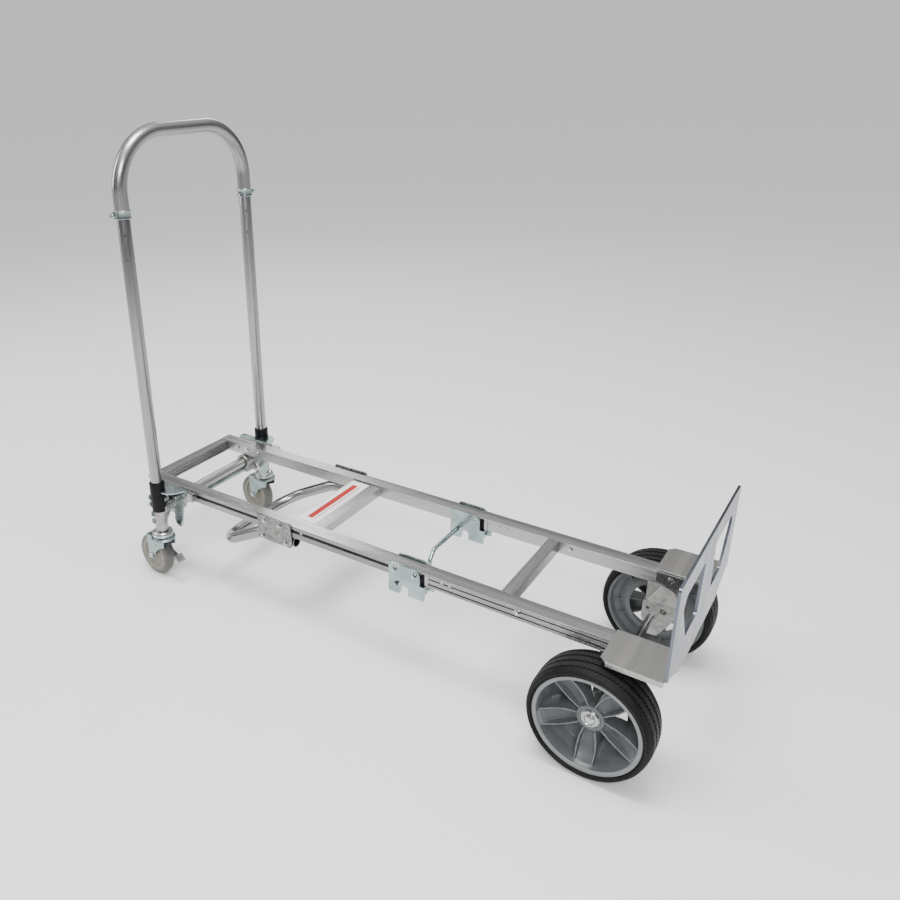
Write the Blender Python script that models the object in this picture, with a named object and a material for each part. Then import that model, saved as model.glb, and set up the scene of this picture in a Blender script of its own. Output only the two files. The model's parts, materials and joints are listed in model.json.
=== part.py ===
"""A convertible hand truck standing as a four-wheel platform truck.

Metres, +Z up, the floor at z = 0. The nose plate faces +X, the push handle stands at the -X end.
The near side is -Y and the far side is +Y, and almost every piece exists once on each of them.
A piece that turns or slides hangs from an empty on its joint's axis.
"""

import math

import bmesh
import bpy
from mathutils import Matrix, Vector

SIDES = {"near": -1, "far": 1}
CLEARANCE = 0.0003  # the gap left between neighbours that touch

# ---- driving dimensions: the frame
RAIL_OUTER = 0.1626
RAIL_WIDTH = 0.0354
RAIL_INNER = RAIL_OUTER - RAIL_WIDTH
RAIL_TOP = 0.2684
RAIL_HEIGHT = 0.0320
RAIL_BOTTOM = RAIL_TOP - RAIL_HEIGHT
RAIL_WALL = 0.0030
RAIL_BACK_END = -0.7135
UPPER_RAIL_END = 0.1655
LOWER_RAIL_START = 0.1845
NOSE_FACE = 0.7215
NOSE_THICKNESS = 0.0055
RAIL_FRONT_END = NOSE_FACE - NOSE_THICKNESS - CLEARANCE
PLATE_OUTER = 0.1680  # outer face of every steel plate bolted against the rails

# ---- driving dimensions: the handle and its casters
HANDLE_X = -0.6243
LEG_Y = 0.2105
LEG_RADIUS = 0.0160
PIVOT_Z = 0.2150
HANDLE_TOP = 1.1900
LOOP_RADIUS = 0.0175
LOOP_BEND = 0.1350
LOOP_BOTTOM = 0.9830
SLEEVE_RADIUS = 0.0203
SLEEVE_BOTTOM = 0.2085
SLEEVE_TOP = 0.2930
BARREL_RADIUS = 0.0170
BARREL_BOTTOM = 0.1475
CASTER_RADIUS = 0.0600
CASTER_WIDTH = 0.0300
CASTER_TRAIL = 0.0374
CASTER_YAW = math.radians(-6.0)  # both casters rest slightly turned
CROWN_BOTTOM = 0.1222
CROWN_THICKNESS = 0.0032
FORK_INNER = 0.0172
FORK_THICKNESS = 0.0030

# ---- driving dimensions: the main wheels
WHEEL_RADIUS = 0.1275
WHEEL_X = 0.5925
WHEEL_OUTER_FACE = 0.2650
TYRE_WIDTH = 0.0880
WHEEL_MIDDLE = WHEEL_OUTER_FACE - TYRE_WIDTH / 2
RIM_RADIUS = 0.1120
AXLE_RADIUS = 0.0090

ROD_RADIUS = 0.0055
ROD_X = 0.1025
ROD_Z = 0.2180


# ---------------------------------------------------------------- scene and materials


def clear_scene():
    for old in list(bpy.data.objects):
        bpy.data.objects.remove(old, do_unlink=True)


def material(name, colour, roughness, metallic):
    made = bpy.data.materials.new(name)
    made.use_nodes = True
    shader = made.node_tree.nodes["Principled BSDF"]
    shader.inputs["Base Color"].default_value = (*colour, 1.0)
    shader.inputs["Roughness"].default_value = roughness
    shader.inputs["Metallic"].default_value = metallic
    made.diffuse_color = (*colour, 1.0)
    return made


def pivot(name, location, parent=None, turn=0.0):
    """An empty on a joint's axis, placed in its parent's frame."""
    empty = bpy.data.objects.new(name, None)
    bpy.context.scene.collection.objects.link(empty)
    empty.empty_display_size = 0.03
    empty.parent = parent
    empty.location = location
    empty.rotation_euler = (0.0, 0.0, turn)
    return empty


def object_from(name, shape, finish, parent, origin):
    """Turns a bmesh into an object whose origin is the point `origin` of the shape's own frame."""
    bmesh.ops.translate(shape, verts=shape.verts, vec=-Vector(origin))
    bmesh.ops.recalc_face_normals(shape, faces=shape.faces)
    mesh = bpy.data.meshes.new(name)
    shape.to_mesh(mesh)
    shape.free()
    mesh.shade_smooth()
    mesh.set_sharp_from_angle(angle=math.radians(32))
    made = bpy.data.objects.new(name, mesh)
    bpy.context.scene.collection.objects.link(made)
    made.parent = parent
    if finish:
        mesh.materials.append(finish)
    return made


def add(name, shape, finish, parent=None, origin=(0, 0, 0), cuts=(), joins=()):
    """A named piece, with the shapes in `joins` united to it and then those in `cuts` taken away."""
    made = object_from(name, shape, finish, parent, origin)
    steps = [("UNION", tool) for tool in joins] + [("DIFFERENCE", tool) for tool in cuts]
    for number, (operation, tool) in enumerate(steps, 1):
        helper = object_from(f"{name}_tool_{number}", tool, None, parent, origin)
        helper.hide_render = True
        helper.display_type = "WIRE"
        step = made.modifiers.new(f"{operation.lower()}_{number}", "BOOLEAN")
        step.operation = operation
        step.solver = "EXACT"
        step.object = helper
    return made


# ---------------------------------------------------------------- shapes

AXES = {"x": (1, 2, 0), "y": (0, 2, 1), "z": (0, 1, 2)}  # first, second and along


def point(axis, first, second, along):
    made = [0.0, 0.0, 0.0]
    for index, value in zip(AXES[axis], (first, second, along)):
        made[index] = value
    return Vector(made)


def prism(outline, axis, low, high):
    """Extrudes an outline, given in the two directions across `axis`, from low to high along it."""
    shape = bmesh.new()
    low, high = sorted((low, high))
    base = shape.faces.new([shape.verts.new(point(axis, a, b, low)) for a, b in outline])
    moved = bmesh.ops.extrude_face_region(shape, geom=[base])["geom"]
    verts = [item for item in moved if isinstance(item, bmesh.types.BMVert)]
    bmesh.ops.translate(shape, verts=verts, vec=point(axis, 0, 0, high - low))
    bmesh.ops.recalc_face_normals(shape, faces=shape.faces)
    return shape


def box(x, y, z):
    """A block between two values along each axis."""
    (x0, x1), (y0, y1) = sorted(x), sorted(y)
    return prism([(x0, y0), (x1, y0), (x1, y1), (x0, y1)], "z", *z)


def arc(centre, radius, start, end, steps):
    """Points along an arc, with its angles in degrees."""
    turns = [math.radians(start + (end - start) * k / steps) for k in range(steps + 1)]
    return [(centre[0] + radius * math.cos(t), centre[1] + radius * math.sin(t)) for t in turns]


def rounded(corners, steps=3):
    """An outline whose corners, given as (a, b, radius), are rounded off by arcs."""
    outline = []
    for k, (a, b, radius) in enumerate(corners):
        here = Vector((a, b))
        if radius <= 0:
            outline.append((a, b))
            continue
        before = (Vector(corners[k - 1][:2]) - here).normalized()
        after = (Vector(corners[(k + 1) % len(corners)][:2]) - here).normalized()
        half = before.angle(after) / 2
        centre = here + (before + after).normalized() * (radius / math.sin(half))
        first = here + before * (radius / math.tan(half)) - centre
        last = here + after * (radius / math.tan(half)) - centre
        for s in range(steps + 1):
            share = s / steps
            swing = first.angle(last)
            mixed = first * math.sin((1 - share) * swing) + last * math.sin(share * swing)
            outline.append(tuple(centre + mixed / math.sin(swing)))
    return outline


def lathe(profile, axis, centre, steps, closed=False):
    """Turns a profile of (along, radius) points about an axis through centre. A closed one is a ring."""
    shape = bmesh.new()
    first, second, _ = (centre[i] for i in AXES[axis])
    rings = []
    for along, radius in profile:
        if radius < 1e-7:
            rings.append([shape.verts.new(point(axis, first, second, along))])
            continue
        turns = [2 * math.pi * (k + 0.5) / steps for k in range(steps)]
        rings.append([
            shape.verts.new(
                point(axis, first + radius * math.cos(t), second + radius * math.sin(t), along)
            )
            for t in turns
        ])
    pairs = list(zip(rings, rings[1:])) + ([(rings[-1], rings[0])] if closed else [])
    for one, two in pairs:
        if len(one) + len(two) == 2:
            continue
        for k in range(steps):
            corner = [one[k % len(one)], one[(k + 1) % len(one)]]
            corner += [two[(k + 1) % len(two)], two[k % len(two)]]
            shape.faces.new(list(dict.fromkeys(corner)))
    if not closed:
        for ring in (rings[0], rings[-1]):
            if len(ring) > 1:
                shape.faces.new(ring)
    bmesh.ops.recalc_face_normals(shape, faces=shape.faces)
    return shape


def rod(axis, centre, radius, low, high, steps=20):
    return lathe([(low, radius), (high, radius)], axis, centre, steps)


def pipe(axis, centre, outer, inner, low, high, steps=20):
    return lathe(
        [(low, outer), (high, outer), (high, inner), (low, inner)], axis, centre, steps, True
    )


def bent_path(corners, steps=6):
    """A 3-D route whose corners, given as (x, y, z, bend radius), are rounded off by arcs."""
    route = []
    for k, (*place, radius) in enumerate(corners):
        here = Vector(place)
        if radius <= 0 or k in (0, len(corners) - 1):
            route.append(here)
            continue
        before = (Vector(corners[k - 1][:3]) - here).normalized()
        after = (Vector(corners[k + 1][:3]) - here).normalized()
        half = before.angle(after) / 2
        centre = here + (before + after).normalized() * (radius / math.sin(half))
        first = here + before * (radius / math.tan(half)) - centre
        last = here + after * (radius / math.tan(half)) - centre
        swing = first.angle(last)
        for s in range(steps + 1):
            share = s / steps
            mixed = first * math.sin((1 - share) * swing) + last * math.sin(share * swing)
            route.append(centre + mixed / math.sin(swing))
    return route


def tube(route, radius, sides=16, bore=0.0):
    """Sweeps a circle along a route. With a bore it is an open pipe, otherwise a capped rod."""
    shape = bmesh.new()
    directions = []
    for k in range(len(route)):
        back = (route[k] - route[k - 1]).normalized() if k else Vector((0, 0, 0))
        ahead = (route[k + 1] - route[k]).normalized() if k + 1 < len(route) else Vector((0, 0, 0))
        directions.append((back + ahead).normalized())
    across = directions[0].orthogonal().normalized()
    walls = {size: [] for size in ((radius, bore) if bore else (radius,))}
    for place, direction in zip(route, directions):
        across = (across - direction * across.dot(direction)).normalized()
        other = direction.cross(across)
        for size, rings in walls.items():
            turns = [2 * math.pi * k / sides for k in range(sides)]
            rings.append([
                shape.verts.new(place + (across * math.cos(t) + other * math.sin(t)) * size)
                for t in turns
            ])
    for rings in walls.values():
        for one, two in zip(rings, rings[1:]):
            for k in range(sides):
                n = (k + 1) % sides
                shape.faces.new([one[k], one[n], two[n], two[k]])
    for end in (0, -1):
        if bore:
            one, two = walls[radius][end], walls[bore][end]
            for k in range(sides):
                n = (k + 1) % sides
                shape.faces.new([one[k], one[n], two[n], two[k]])
        else:
            shape.faces.new(walls[radius][end])
    bmesh.ops.recalc_face_normals(shape, faces=shape.faces)
    return shape


def across(side, *values):
    """Distances from the middle plane as y values on this side, lowest first."""
    return sorted(SIDES[side] * value for value in values)


# ---------------------------------------------------------------- the two rails


def rail_section(side, lip):
    """The rail's outline across X: a T-slot in its outer face, a lip under the top of the inner."""
    s = SIDES[side]
    slot_low, slot_high, slot_depth = RAIL_BOTTOM + 0.0120, RAIL_TOP - 0.0085, 0.0042
    foot = 0.0012
    corners = [
        (RAIL_INNER - lip, RAIL_TOP),
        (RAIL_OUTER, RAIL_TOP),
        (RAIL_OUTER, slot_high),
        (RAIL_OUTER - slot_depth, slot_high),
        (RAIL_OUTER - slot_depth, slot_low),
        (RAIL_OUTER, slot_low),
        (RAIL_OUTER, RAIL_BOTTOM + 0.0055),
        (RAIL_OUTER - foot, RAIL_BOTTOM + 0.0045),
        (RAIL_OUTER - foot, RAIL_BOTTOM + 0.0030),
        (RAIL_OUTER, RAIL_BOTTOM + 0.0020),
        (RAIL_OUTER, RAIL_BOTTOM),
        (RAIL_INNER + foot, RAIL_BOTTOM),
        (RAIL_INNER + foot, RAIL_TOP - 0.0075),
        (RAIL_INNER - lip, RAIL_TOP - 0.0060),
    ]
    return [(s * y, z) for y, z in corners]


def rail(side, start, end, lip):
    hollow = box(
        (start - 0.01, end + 0.01),
        across(side, RAIL_INNER + 0.0042, RAIL_OUTER - 0.0072),
        (RAIL_BOTTOM + RAIL_WALL, RAIL_TOP - RAIL_WALL),
    )
    return prism(rail_section(side, lip), "x", start, end), hollow


def build_rails(aluminium, dark):
    for side in SIDES:
        shape, hollow = rail(side, RAIL_BACK_END, UPPER_RAIL_END, 0.0)
        add(f"upper_rail_{side}", shape, aluminium, cuts=[hollow])
        shape, hollow = rail(side, LOWER_RAIL_START, RAIL_FRONT_END, 0.0008)
        add(f"lower_rail_{side}", shape, aluminium, cuts=[hollow])
        # The splice bar sits inside both rails, and its shoulder fills the gap between them.
        bar = box(
            (0.1050, 0.2450),
            across(side, RAIL_INNER + 0.0045, RAIL_OUTER - 0.0075),
            (RAIL_BOTTOM + RAIL_WALL + CLEARANCE, RAIL_TOP - RAIL_WALL - CLEARANCE),
        )
        shoulder = box(
            (UPPER_RAIL_END + CLEARANCE, LOWER_RAIL_START - CLEARANCE),
            across(side, RAIL_INNER + 0.0030, RAIL_OUTER - 0.0060),
            (RAIL_BOTTOM + 0.0015, RAIL_TOP - 0.0004),
        )
        add(f"rail_splice_{side}", bar, dark, joins=[shoulder])


# ---------------------------------------------------------------- cross members


def build_cross_members(aluminium):
    reach = RAIL_INNER - 0.0015
    back = RAIL_BACK_END
    groove = 0.0025
    front = back + 0.0260
    grooved = [(back, RAIL_BOTTOM), (front, RAIL_BOTTOM)]
    for level in (0.0060, 0.0135, 0.0210):
        low = RAIL_BOTTOM + level
        grooved += [
            (front, low),
            (front - groove, low + 0.0008),
            (front - groove, low + 0.0032),
            (front, low + 0.0040),
        ]
    grooved += [(front, RAIL_TOP - 0.0006), (back, RAIL_TOP - 0.0006)]
    hollow = box(
        (back + 0.0030, front - groove - 0.0025),
        (-0.2, 0.2),
        (RAIL_BOTTOM + 0.0030, RAIL_TOP - 0.0036),
    )
    add("end_cross_member", prism(grooved, "y", -reach, reach), aluminium, cuts=[hollow])

    def channel(left, right, top, depth, wall):
        """A channel open underneath."""
        return [
            (left, top),
            (right, top),
            (right, top - depth),
            (right - wall, top - depth),
            (right - wall, top - wall),
            (left + wall, top - wall),
            (left + wall, top - depth),
            (left, top - depth),
        ]

    wide = channel(-0.2215, -0.1335, RAIL_TOP - 0.0030, 0.0240, 0.0032)
    add("wide_cross_member", prism(wide, "y", -reach, reach), aluminium)
    plain = channel(0.3435, 0.3715, RAIL_TOP - 0.0006, 0.0280, 0.0030)
    add("front_cross_member", prism(plain, "y", -reach, reach), aluminium)


# ---------------------------------------------------------------- grab handle under the deck


def build_grab_handle(aluminium, zinc):
    leg_y, leg_z = 0.1472, 0.2170
    open_end, knee = -0.2015, -0.3050
    low_x, low_z = -0.4695, 0.1300
    bend = 0.0750
    route = bent_path(
        [
            (open_end, -leg_y, leg_z, 0),
            (knee, -leg_y, leg_z, 0.0800),
            (low_x, -leg_y, low_z, bend),
            (low_x, leg_y, low_z, bend),
            (knee, leg_y, leg_z, 0.0800),
            (open_end, leg_y, leg_z, 0),
        ],
        steps=4,
    )
    add("grab_handle", tube(route, 0.0150, 14, 0.0127), aluminium)
    for side in SIDES:
        corners = [
            (-0.3105, 0.2060, 0.004),
            (-0.2035, 0.2060, 0.004),
            (-0.2035, 0.2735, 0.004),
            (-0.3105, 0.2735, 0.004),
        ]
        plate = prism(rounded(corners), "y", *across(side, RAIL_OUTER + CLEARANCE, PLATE_OUTER))
        add(f"grab_plate_{side}", plate, zinc)


# ---------------------------------------------------------------- latch saddles and release rod


def build_saddles(zinc):
    """A bent plate on each side of the rail, with the latch notch and the rod's slanted slot."""
    left, notch_left, notch_right, right = 0.0835, 0.1165, 0.1355, 0.1655
    bottom, bridge, top = 0.1960, 0.2335, 0.2720
    plate = [
        (left, bottom, 0.003),
        (notch_left - 0.004, bottom, 0.003),
        (notch_left, bottom + 0.010, 0.003),
        (notch_left, 0.2200, 0.008),
        (notch_right, 0.2200, 0.008),
        (notch_right, bottom + 0.001, 0.002),
        (right, bottom + 0.001, 0.002),
        (right, top - 0.010, 0.008),
        (right - 0.012, top, 0.008),
        (left, top, 0.006),
    ]
    travel = 0.0080 * math.sqrt(0.5)
    for side in SIDES:
        outer = prism(rounded(plate), "y", *across(side, RAIL_OUTER + 0.0006, PLATE_OUTER))
        inner = prism(rounded(plate), "y", *across(side, 0.1212, RAIL_INNER - 0.0012))
        # Below the rail the two plates are joined by the folded web and by the right-hand box.
        web = box((left, notch_left - 0.003), across(side, 0.1230, 0.1660), (0.2305, bridge))
        cap = box((notch_right, right + 0.0120), across(side, 0.1230, 0.1660), (0.2305, bridge))
        back = box((notch_right, notch_right + 0.003), across(side, 0.1230, 0.1660), (0.1980, 0.2320))
        skirts = [
            box((right - 0.004, right + 0.0120), across(side, *pair), (0.1975, bridge))
            for pair in ((0.1212, 0.1245), (0.1645, PLATE_OUTER))
        ]
        slot = []
        for start, centre in ((45, (ROD_X + travel, ROD_Z + travel)), (225, (ROD_X, ROD_Z))):
            slot += arc(centre, ROD_RADIUS + 0.0006, start - 90, start + 90, 6)
        slot = prism(slot, "y", *across(side, 0.10, 0.18))
        add(f"latch_saddle_{side}", outer, zinc, joins=[web, cap, inner, back, *skirts], cuts=[slot])


def build_release_rod(zinc):
    """One bent rod through both saddles. It slides up their slots to free the latched bar."""
    holder = pivot("release_rod_slide", (ROD_X, 0, ROD_Z))
    end, drop_top, drop, foot = 0.1725, 0.0040, -0.0140, -0.0165
    route = bent_path(
        [
            (ROD_X, end, ROD_Z, 0),
            (ROD_X, drop_top, ROD_Z, 0.014),
            (ROD_X, drop, ROD_Z - 0.022, 0.016),
            (ROD_X, foot, 0.1560, 0.010),
            (ROD_X, -0.1080, ROD_Z, 0.016),
            (ROD_X, -end, ROD_Z, 0),
        ],
        steps=4,
    )
    add("release_rod", tube(route, ROD_RADIUS, sides=12), zinc, holder, holder.location)


# ---------------------------------------------------------------- nose plate and its brackets


def build_nose(aluminium, cast, dark):
    half_width, top = 0.2300, 0.4720
    right = [
        (half_width, top, 0.006),
        (half_width, 0.2710, 0.003),
        (0.2040, 0.2700, 0.012),
        (0.1400, RAIL_BOTTOM, 0.012),
    ]
    left = [(-y, z, radius) for y, z, radius in reversed(right)]
    opening = [
        (0.0520, 0.3150, 0.006),
        (0.1360, 0.3150, 0.006),
        (0.1870, 0.4060, 0.010),
        (0.1700, 0.4280, 0.010),
        (0.0400, 0.4280, 0.010),
    ]
    behind = NOSE_FACE - NOSE_THICKNESS
    windows = []
    for side in SIDES.values():
        corners = [(side * y, z, radius) for y, z, radius in opening]
        windows.append(prism(rounded(corners), "x", behind - 0.01, NOSE_FACE + 0.01))
    add("nose_plate", prism(rounded(right + left), "x", behind, NOSE_FACE), aluminium, cuts=windows)

    ear_back, ear_outer, chamfer = 0.5955, 0.2360, 0.0130
    for side in SIDES:
        s = SIDES[side]
        outline = [
            (ear_back, s * 0.1270),
            (RAIL_FRONT_END, s * 0.1270),
            (RAIL_FRONT_END, s * ear_outer),
            (ear_back + chamfer, s * ear_outer),
            (ear_back, s * (ear_outer - chamfer)),
        ]
        flat = prism(outline, "z", RAIL_TOP + CLEARANCE, RAIL_TOP + 0.0050)
        edge = box(
            (ear_back + chamfer, RAIL_FRONT_END),
            across(side, ear_outer - 0.0040, ear_outer),
            (RAIL_TOP - 0.0060, RAIL_TOP + 0.0045),
        )
        add(f"nose_bracket_{side}", flat, aluminium, joins=[edge])

        cheek = [(0.5990, RAIL_TOP - 0.0010), (0.5990, RAIL_TOP - 0.0230)]
        cheek += [
            (0.5990 + 0.1100 * t, RAIL_TOP - 0.0230 - 0.0085 * math.sin(math.pi * t))
            for t in (0.2, 0.4, 0.6, 0.8)
        ]
        cheek += [(0.7090, RAIL_TOP - 0.0180), (0.7090, RAIL_TOP - 0.0010)]
        plate = prism(cheek, "y", *across(side, RAIL_INNER - 0.0046, RAIL_INNER - 0.0012))
        add(f"cheek_plate_{side}", plate, dark)

        plate_inner, plate_outer = 0.1500, 0.1640
        axle_plate = rounded(
            [
                (0.5720, 0.1700, 0.004),
                (0.5710, 0.1260, 0.006),
                (0.5880, 0.0830, 0.006),
                (0.6110, 0.0840, 0.006),
                (0.6440, 0.1370, 0.006),
                (0.6450, 0.1710, 0.003),
            ]
        )
        lower = prism(axle_plate, "y", *across(side, plate_inner, plate_outer))
        wall_top = RAIL_BOTTOM - CLEARANCE
        wall = box((0.5760, 0.6620), across(side, 0.1530, 0.1615), (0.1600, wall_top))

        web_foot, web_top = 0.1680, 0.2340
        foot_y, top_y = 0.1512, 0.1290
        lean = (foot_y - top_y) / (web_top - web_foot)
        outline = [(0.5775, web_foot), (0.6425, web_foot)]
        outline += arc((0.6105, 0.1985), web_top - 0.1985, 0, 90, 6)
        web = prism(outline, "y", *across(side, top_y, 0.1560))
        for vert in web.verts:
            if abs(vert.co.y) < foot_y:
                vert.co.y = s * (foot_y - lean * (vert.co.z - web_foot))
        bore = rod("y", (WHEEL_X, 0, WHEEL_RADIUS), AXLE_RADIUS + CLEARANCE, -0.3, 0.3)
        cavity = rod("y", (0.6187, 0, 0.1530), 0.0076, *across(side, 0.1400, 0.1580), 16)
        hole = rod("y", (0.5842, 0, 0.1527), 0.0042, *across(side, 0.1400, 0.1580), 12)
        add(f"axle_bracket_{side}", lower, cast, joins=[wall, web], cuts=[bore, cavity, hole])


# ---------------------------------------------------------------- axle and main wheels


def build_axle_and_wheels(zinc, rubber, wheel_grey, chrome):
    axle_end = 0.2350
    centre = (WHEEL_X, 0, WHEEL_RADIUS)
    add("axle", rod("y", centre, AXLE_RADIUS, -axle_end, axle_end), zinc)
    hub_inner, hub_outer = 0.1790, 0.2340
    for side, s in SIDES.items():
        holder = pivot(f"main_wheel_{side}_axis", (WHEEL_X, s * WHEEL_MIDDLE, WHEEL_RADIUS))

        def turned(profile, steps):
            """A closed ring about the wheel's axle, given as (distance from the middle plane, radius)."""
            placed = [(s * along, radius) for along, radius in profile]
            return lathe(placed, "y", (WHEEL_X, 0, WHEEL_RADIUS), steps, closed=True)

        half = TYRE_WIDTH / 2
        crown = WHEEL_RADIUS
        tread = [
            (-half + 0.0060, RIM_RADIUS + 0.0006),
            (-half, RIM_RADIUS + 0.0060),
            (-half + 0.0030, crown - 0.0070),
            (-half + 0.0130, crown - 0.0014),
            (-half * 0.3, crown),
            (half * 0.3, crown),
            (half - 0.0130, crown - 0.0014),
            (half - 0.0030, crown - 0.0070),
            (half, RIM_RADIUS + 0.0060),
            (half - 0.0060, RIM_RADIUS + 0.0006),
        ]
        tread = [(WHEEL_MIDDLE + along, radius) for along, radius in tread]
        add(f"tyre_{side}", turned(tread, 44), rubber, holder, holder.location)

        barrel = [
            (WHEEL_MIDDLE - 0.0400, RIM_RADIUS),
            (WHEEL_MIDDLE + 0.0400, RIM_RADIUS),
            (WHEEL_MIDDLE + 0.0400, RIM_RADIUS - 0.0060),
            (WHEEL_MIDDLE - 0.0400, RIM_RADIUS - 0.0080),
        ]
        hub = [
            (hub_inner, AXLE_RADIUS + 0.0110),
            (hub_inner, 0.0250),
            (hub_outer, 0.0270),
            (hub_outer, AXLE_RADIUS + 0.0110),
        ]
        spokes = []
        for k in range(5):
            turn = Matrix.Translation(centre) @ Matrix.Rotation(math.radians(72 * k + 20), 4, "Y")
            wedge = [(-0.0120, 0.0230), (0.0120, 0.0230), (0.0250, 0.1080), (-0.0250, 0.1080)]
            spoke = prism(wedge, "y", s * 0.2180, s * 0.2320)
            bmesh.ops.transform(spoke, matrix=turn, verts=spoke.verts)
            spokes.append(spoke)
        add(
            f"wheel_rim_{side}",
            turned(barrel, 44),
            wheel_grey,
            holder,
            holder.location,
            joins=[turned(hub, 24), *spokes],
        )
        sleeve = [
            (hub_inner + 0.0010, AXLE_RADIUS + CLEARANCE),
            (hub_inner + 0.0010, AXLE_RADIUS + 0.0110 - CLEARANCE),
            (hub_outer - 0.0010, AXLE_RADIUS + 0.0110 - CLEARANCE),
            (hub_outer - 0.0010, AXLE_RADIUS + CLEARANCE),
        ]
        add(f"wheel_bearing_{side}", turned(sleeve, 24), zinc, holder, holder.location)
        cap = [
            (hub_outer + CLEARANCE, 0.0185),
            (hub_outer + 0.0020, 0.0185),
            (hub_outer + 0.0050, 0.0150),
            (hub_outer + 0.0062, 0.0),
            (axle_end + 0.0005, 0.0),
            (axle_end + 0.0005, AXLE_RADIUS + 0.0020),
            (hub_outer + CLEARANCE, AXLE_RADIUS + 0.0020),
        ]
        placed = [(s * along, radius) for along, radius in cap]
        cap_shape = lathe(placed, "y", centre, 24, closed=True)
        add(f"hub_cap_{side}", cap_shape, chrome, holder, holder.location)


# ---------------------------------------------------------------- handle brackets on the frame


def build_handle_brackets(zinc, aluminium):
    """A bent plate that seats the sleeve and hooks round the socket, and the block that spaces it."""
    plate_inner, plate_outer = 0.1705, 0.1755
    for side, s in SIDES.items():
        back, front = -0.6765, -0.5515
        flange = [(back, plate_inner + 0.002), (front, plate_inner + 0.002)]
        flange += [
            (-0.5615, 0.1930),
            (-0.5705, 0.2080),
            (-0.5850, 0.2165),
            (-0.6000, 0.2190),
            (HANDLE_X + 0.0225, 0.2175),
        ]
        flange += arc((HANDLE_X, LEG_Y), SLEEVE_RADIUS + 0.0012, 18, -90, 8)
        flange += [(back, LEG_Y - SLEEVE_RADIUS - 0.0012)]
        flange = prism([(x, s * y) for x, y in flange], "z", 0.2670, 0.2705)

        socket = (HANDLE_X, PIVOT_Z)
        hook = [(back, 0.2675), (back, 0.2440), (HANDLE_X - 0.020, 0.2440)]
        hook += arc(socket, 0.0272, 92, 15, 6)
        hook += [
            (-0.5990, 0.2000),
            (-0.6075, 0.1860),
            (-0.6100, 0.1700),
            (-0.6050, 0.1560),
            (-0.5935, 0.1490),
            (-0.5880, 0.1500),
            (-0.5800, 0.1700),
            (-0.5700, 0.2270),
            (front, 0.2440),
            (front, 0.2675),
        ]
        upright = prism(hook, "y", s * plate_inner, s * plate_outer)
        add(f"handle_hook_{side}", upright, zinc, joins=[flange])

        face = RAIL_OUTER + CLEARANCE
        block = [
            (back + 0.004, face),
            (-0.5265, face),
            (-0.5265, 0.1830),
            (-0.5300, 0.1830),
            (-0.5320, 0.1800),
            (-0.5360, 0.1800),
            (-0.5380, 0.1830),
            (-0.5500, 0.1830),
            (-0.5500, plate_inner - CLEARANCE),
            (back + 0.004, plate_inner - CLEARANCE),
        ]
        outline = [(x, s * y) for x, y in block]
        add(f"hook_spacer_{side}", prism(outline, "z", 0.2445, 0.2662), aluminium)


# ---------------------------------------------------------------- the upright handle


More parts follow.
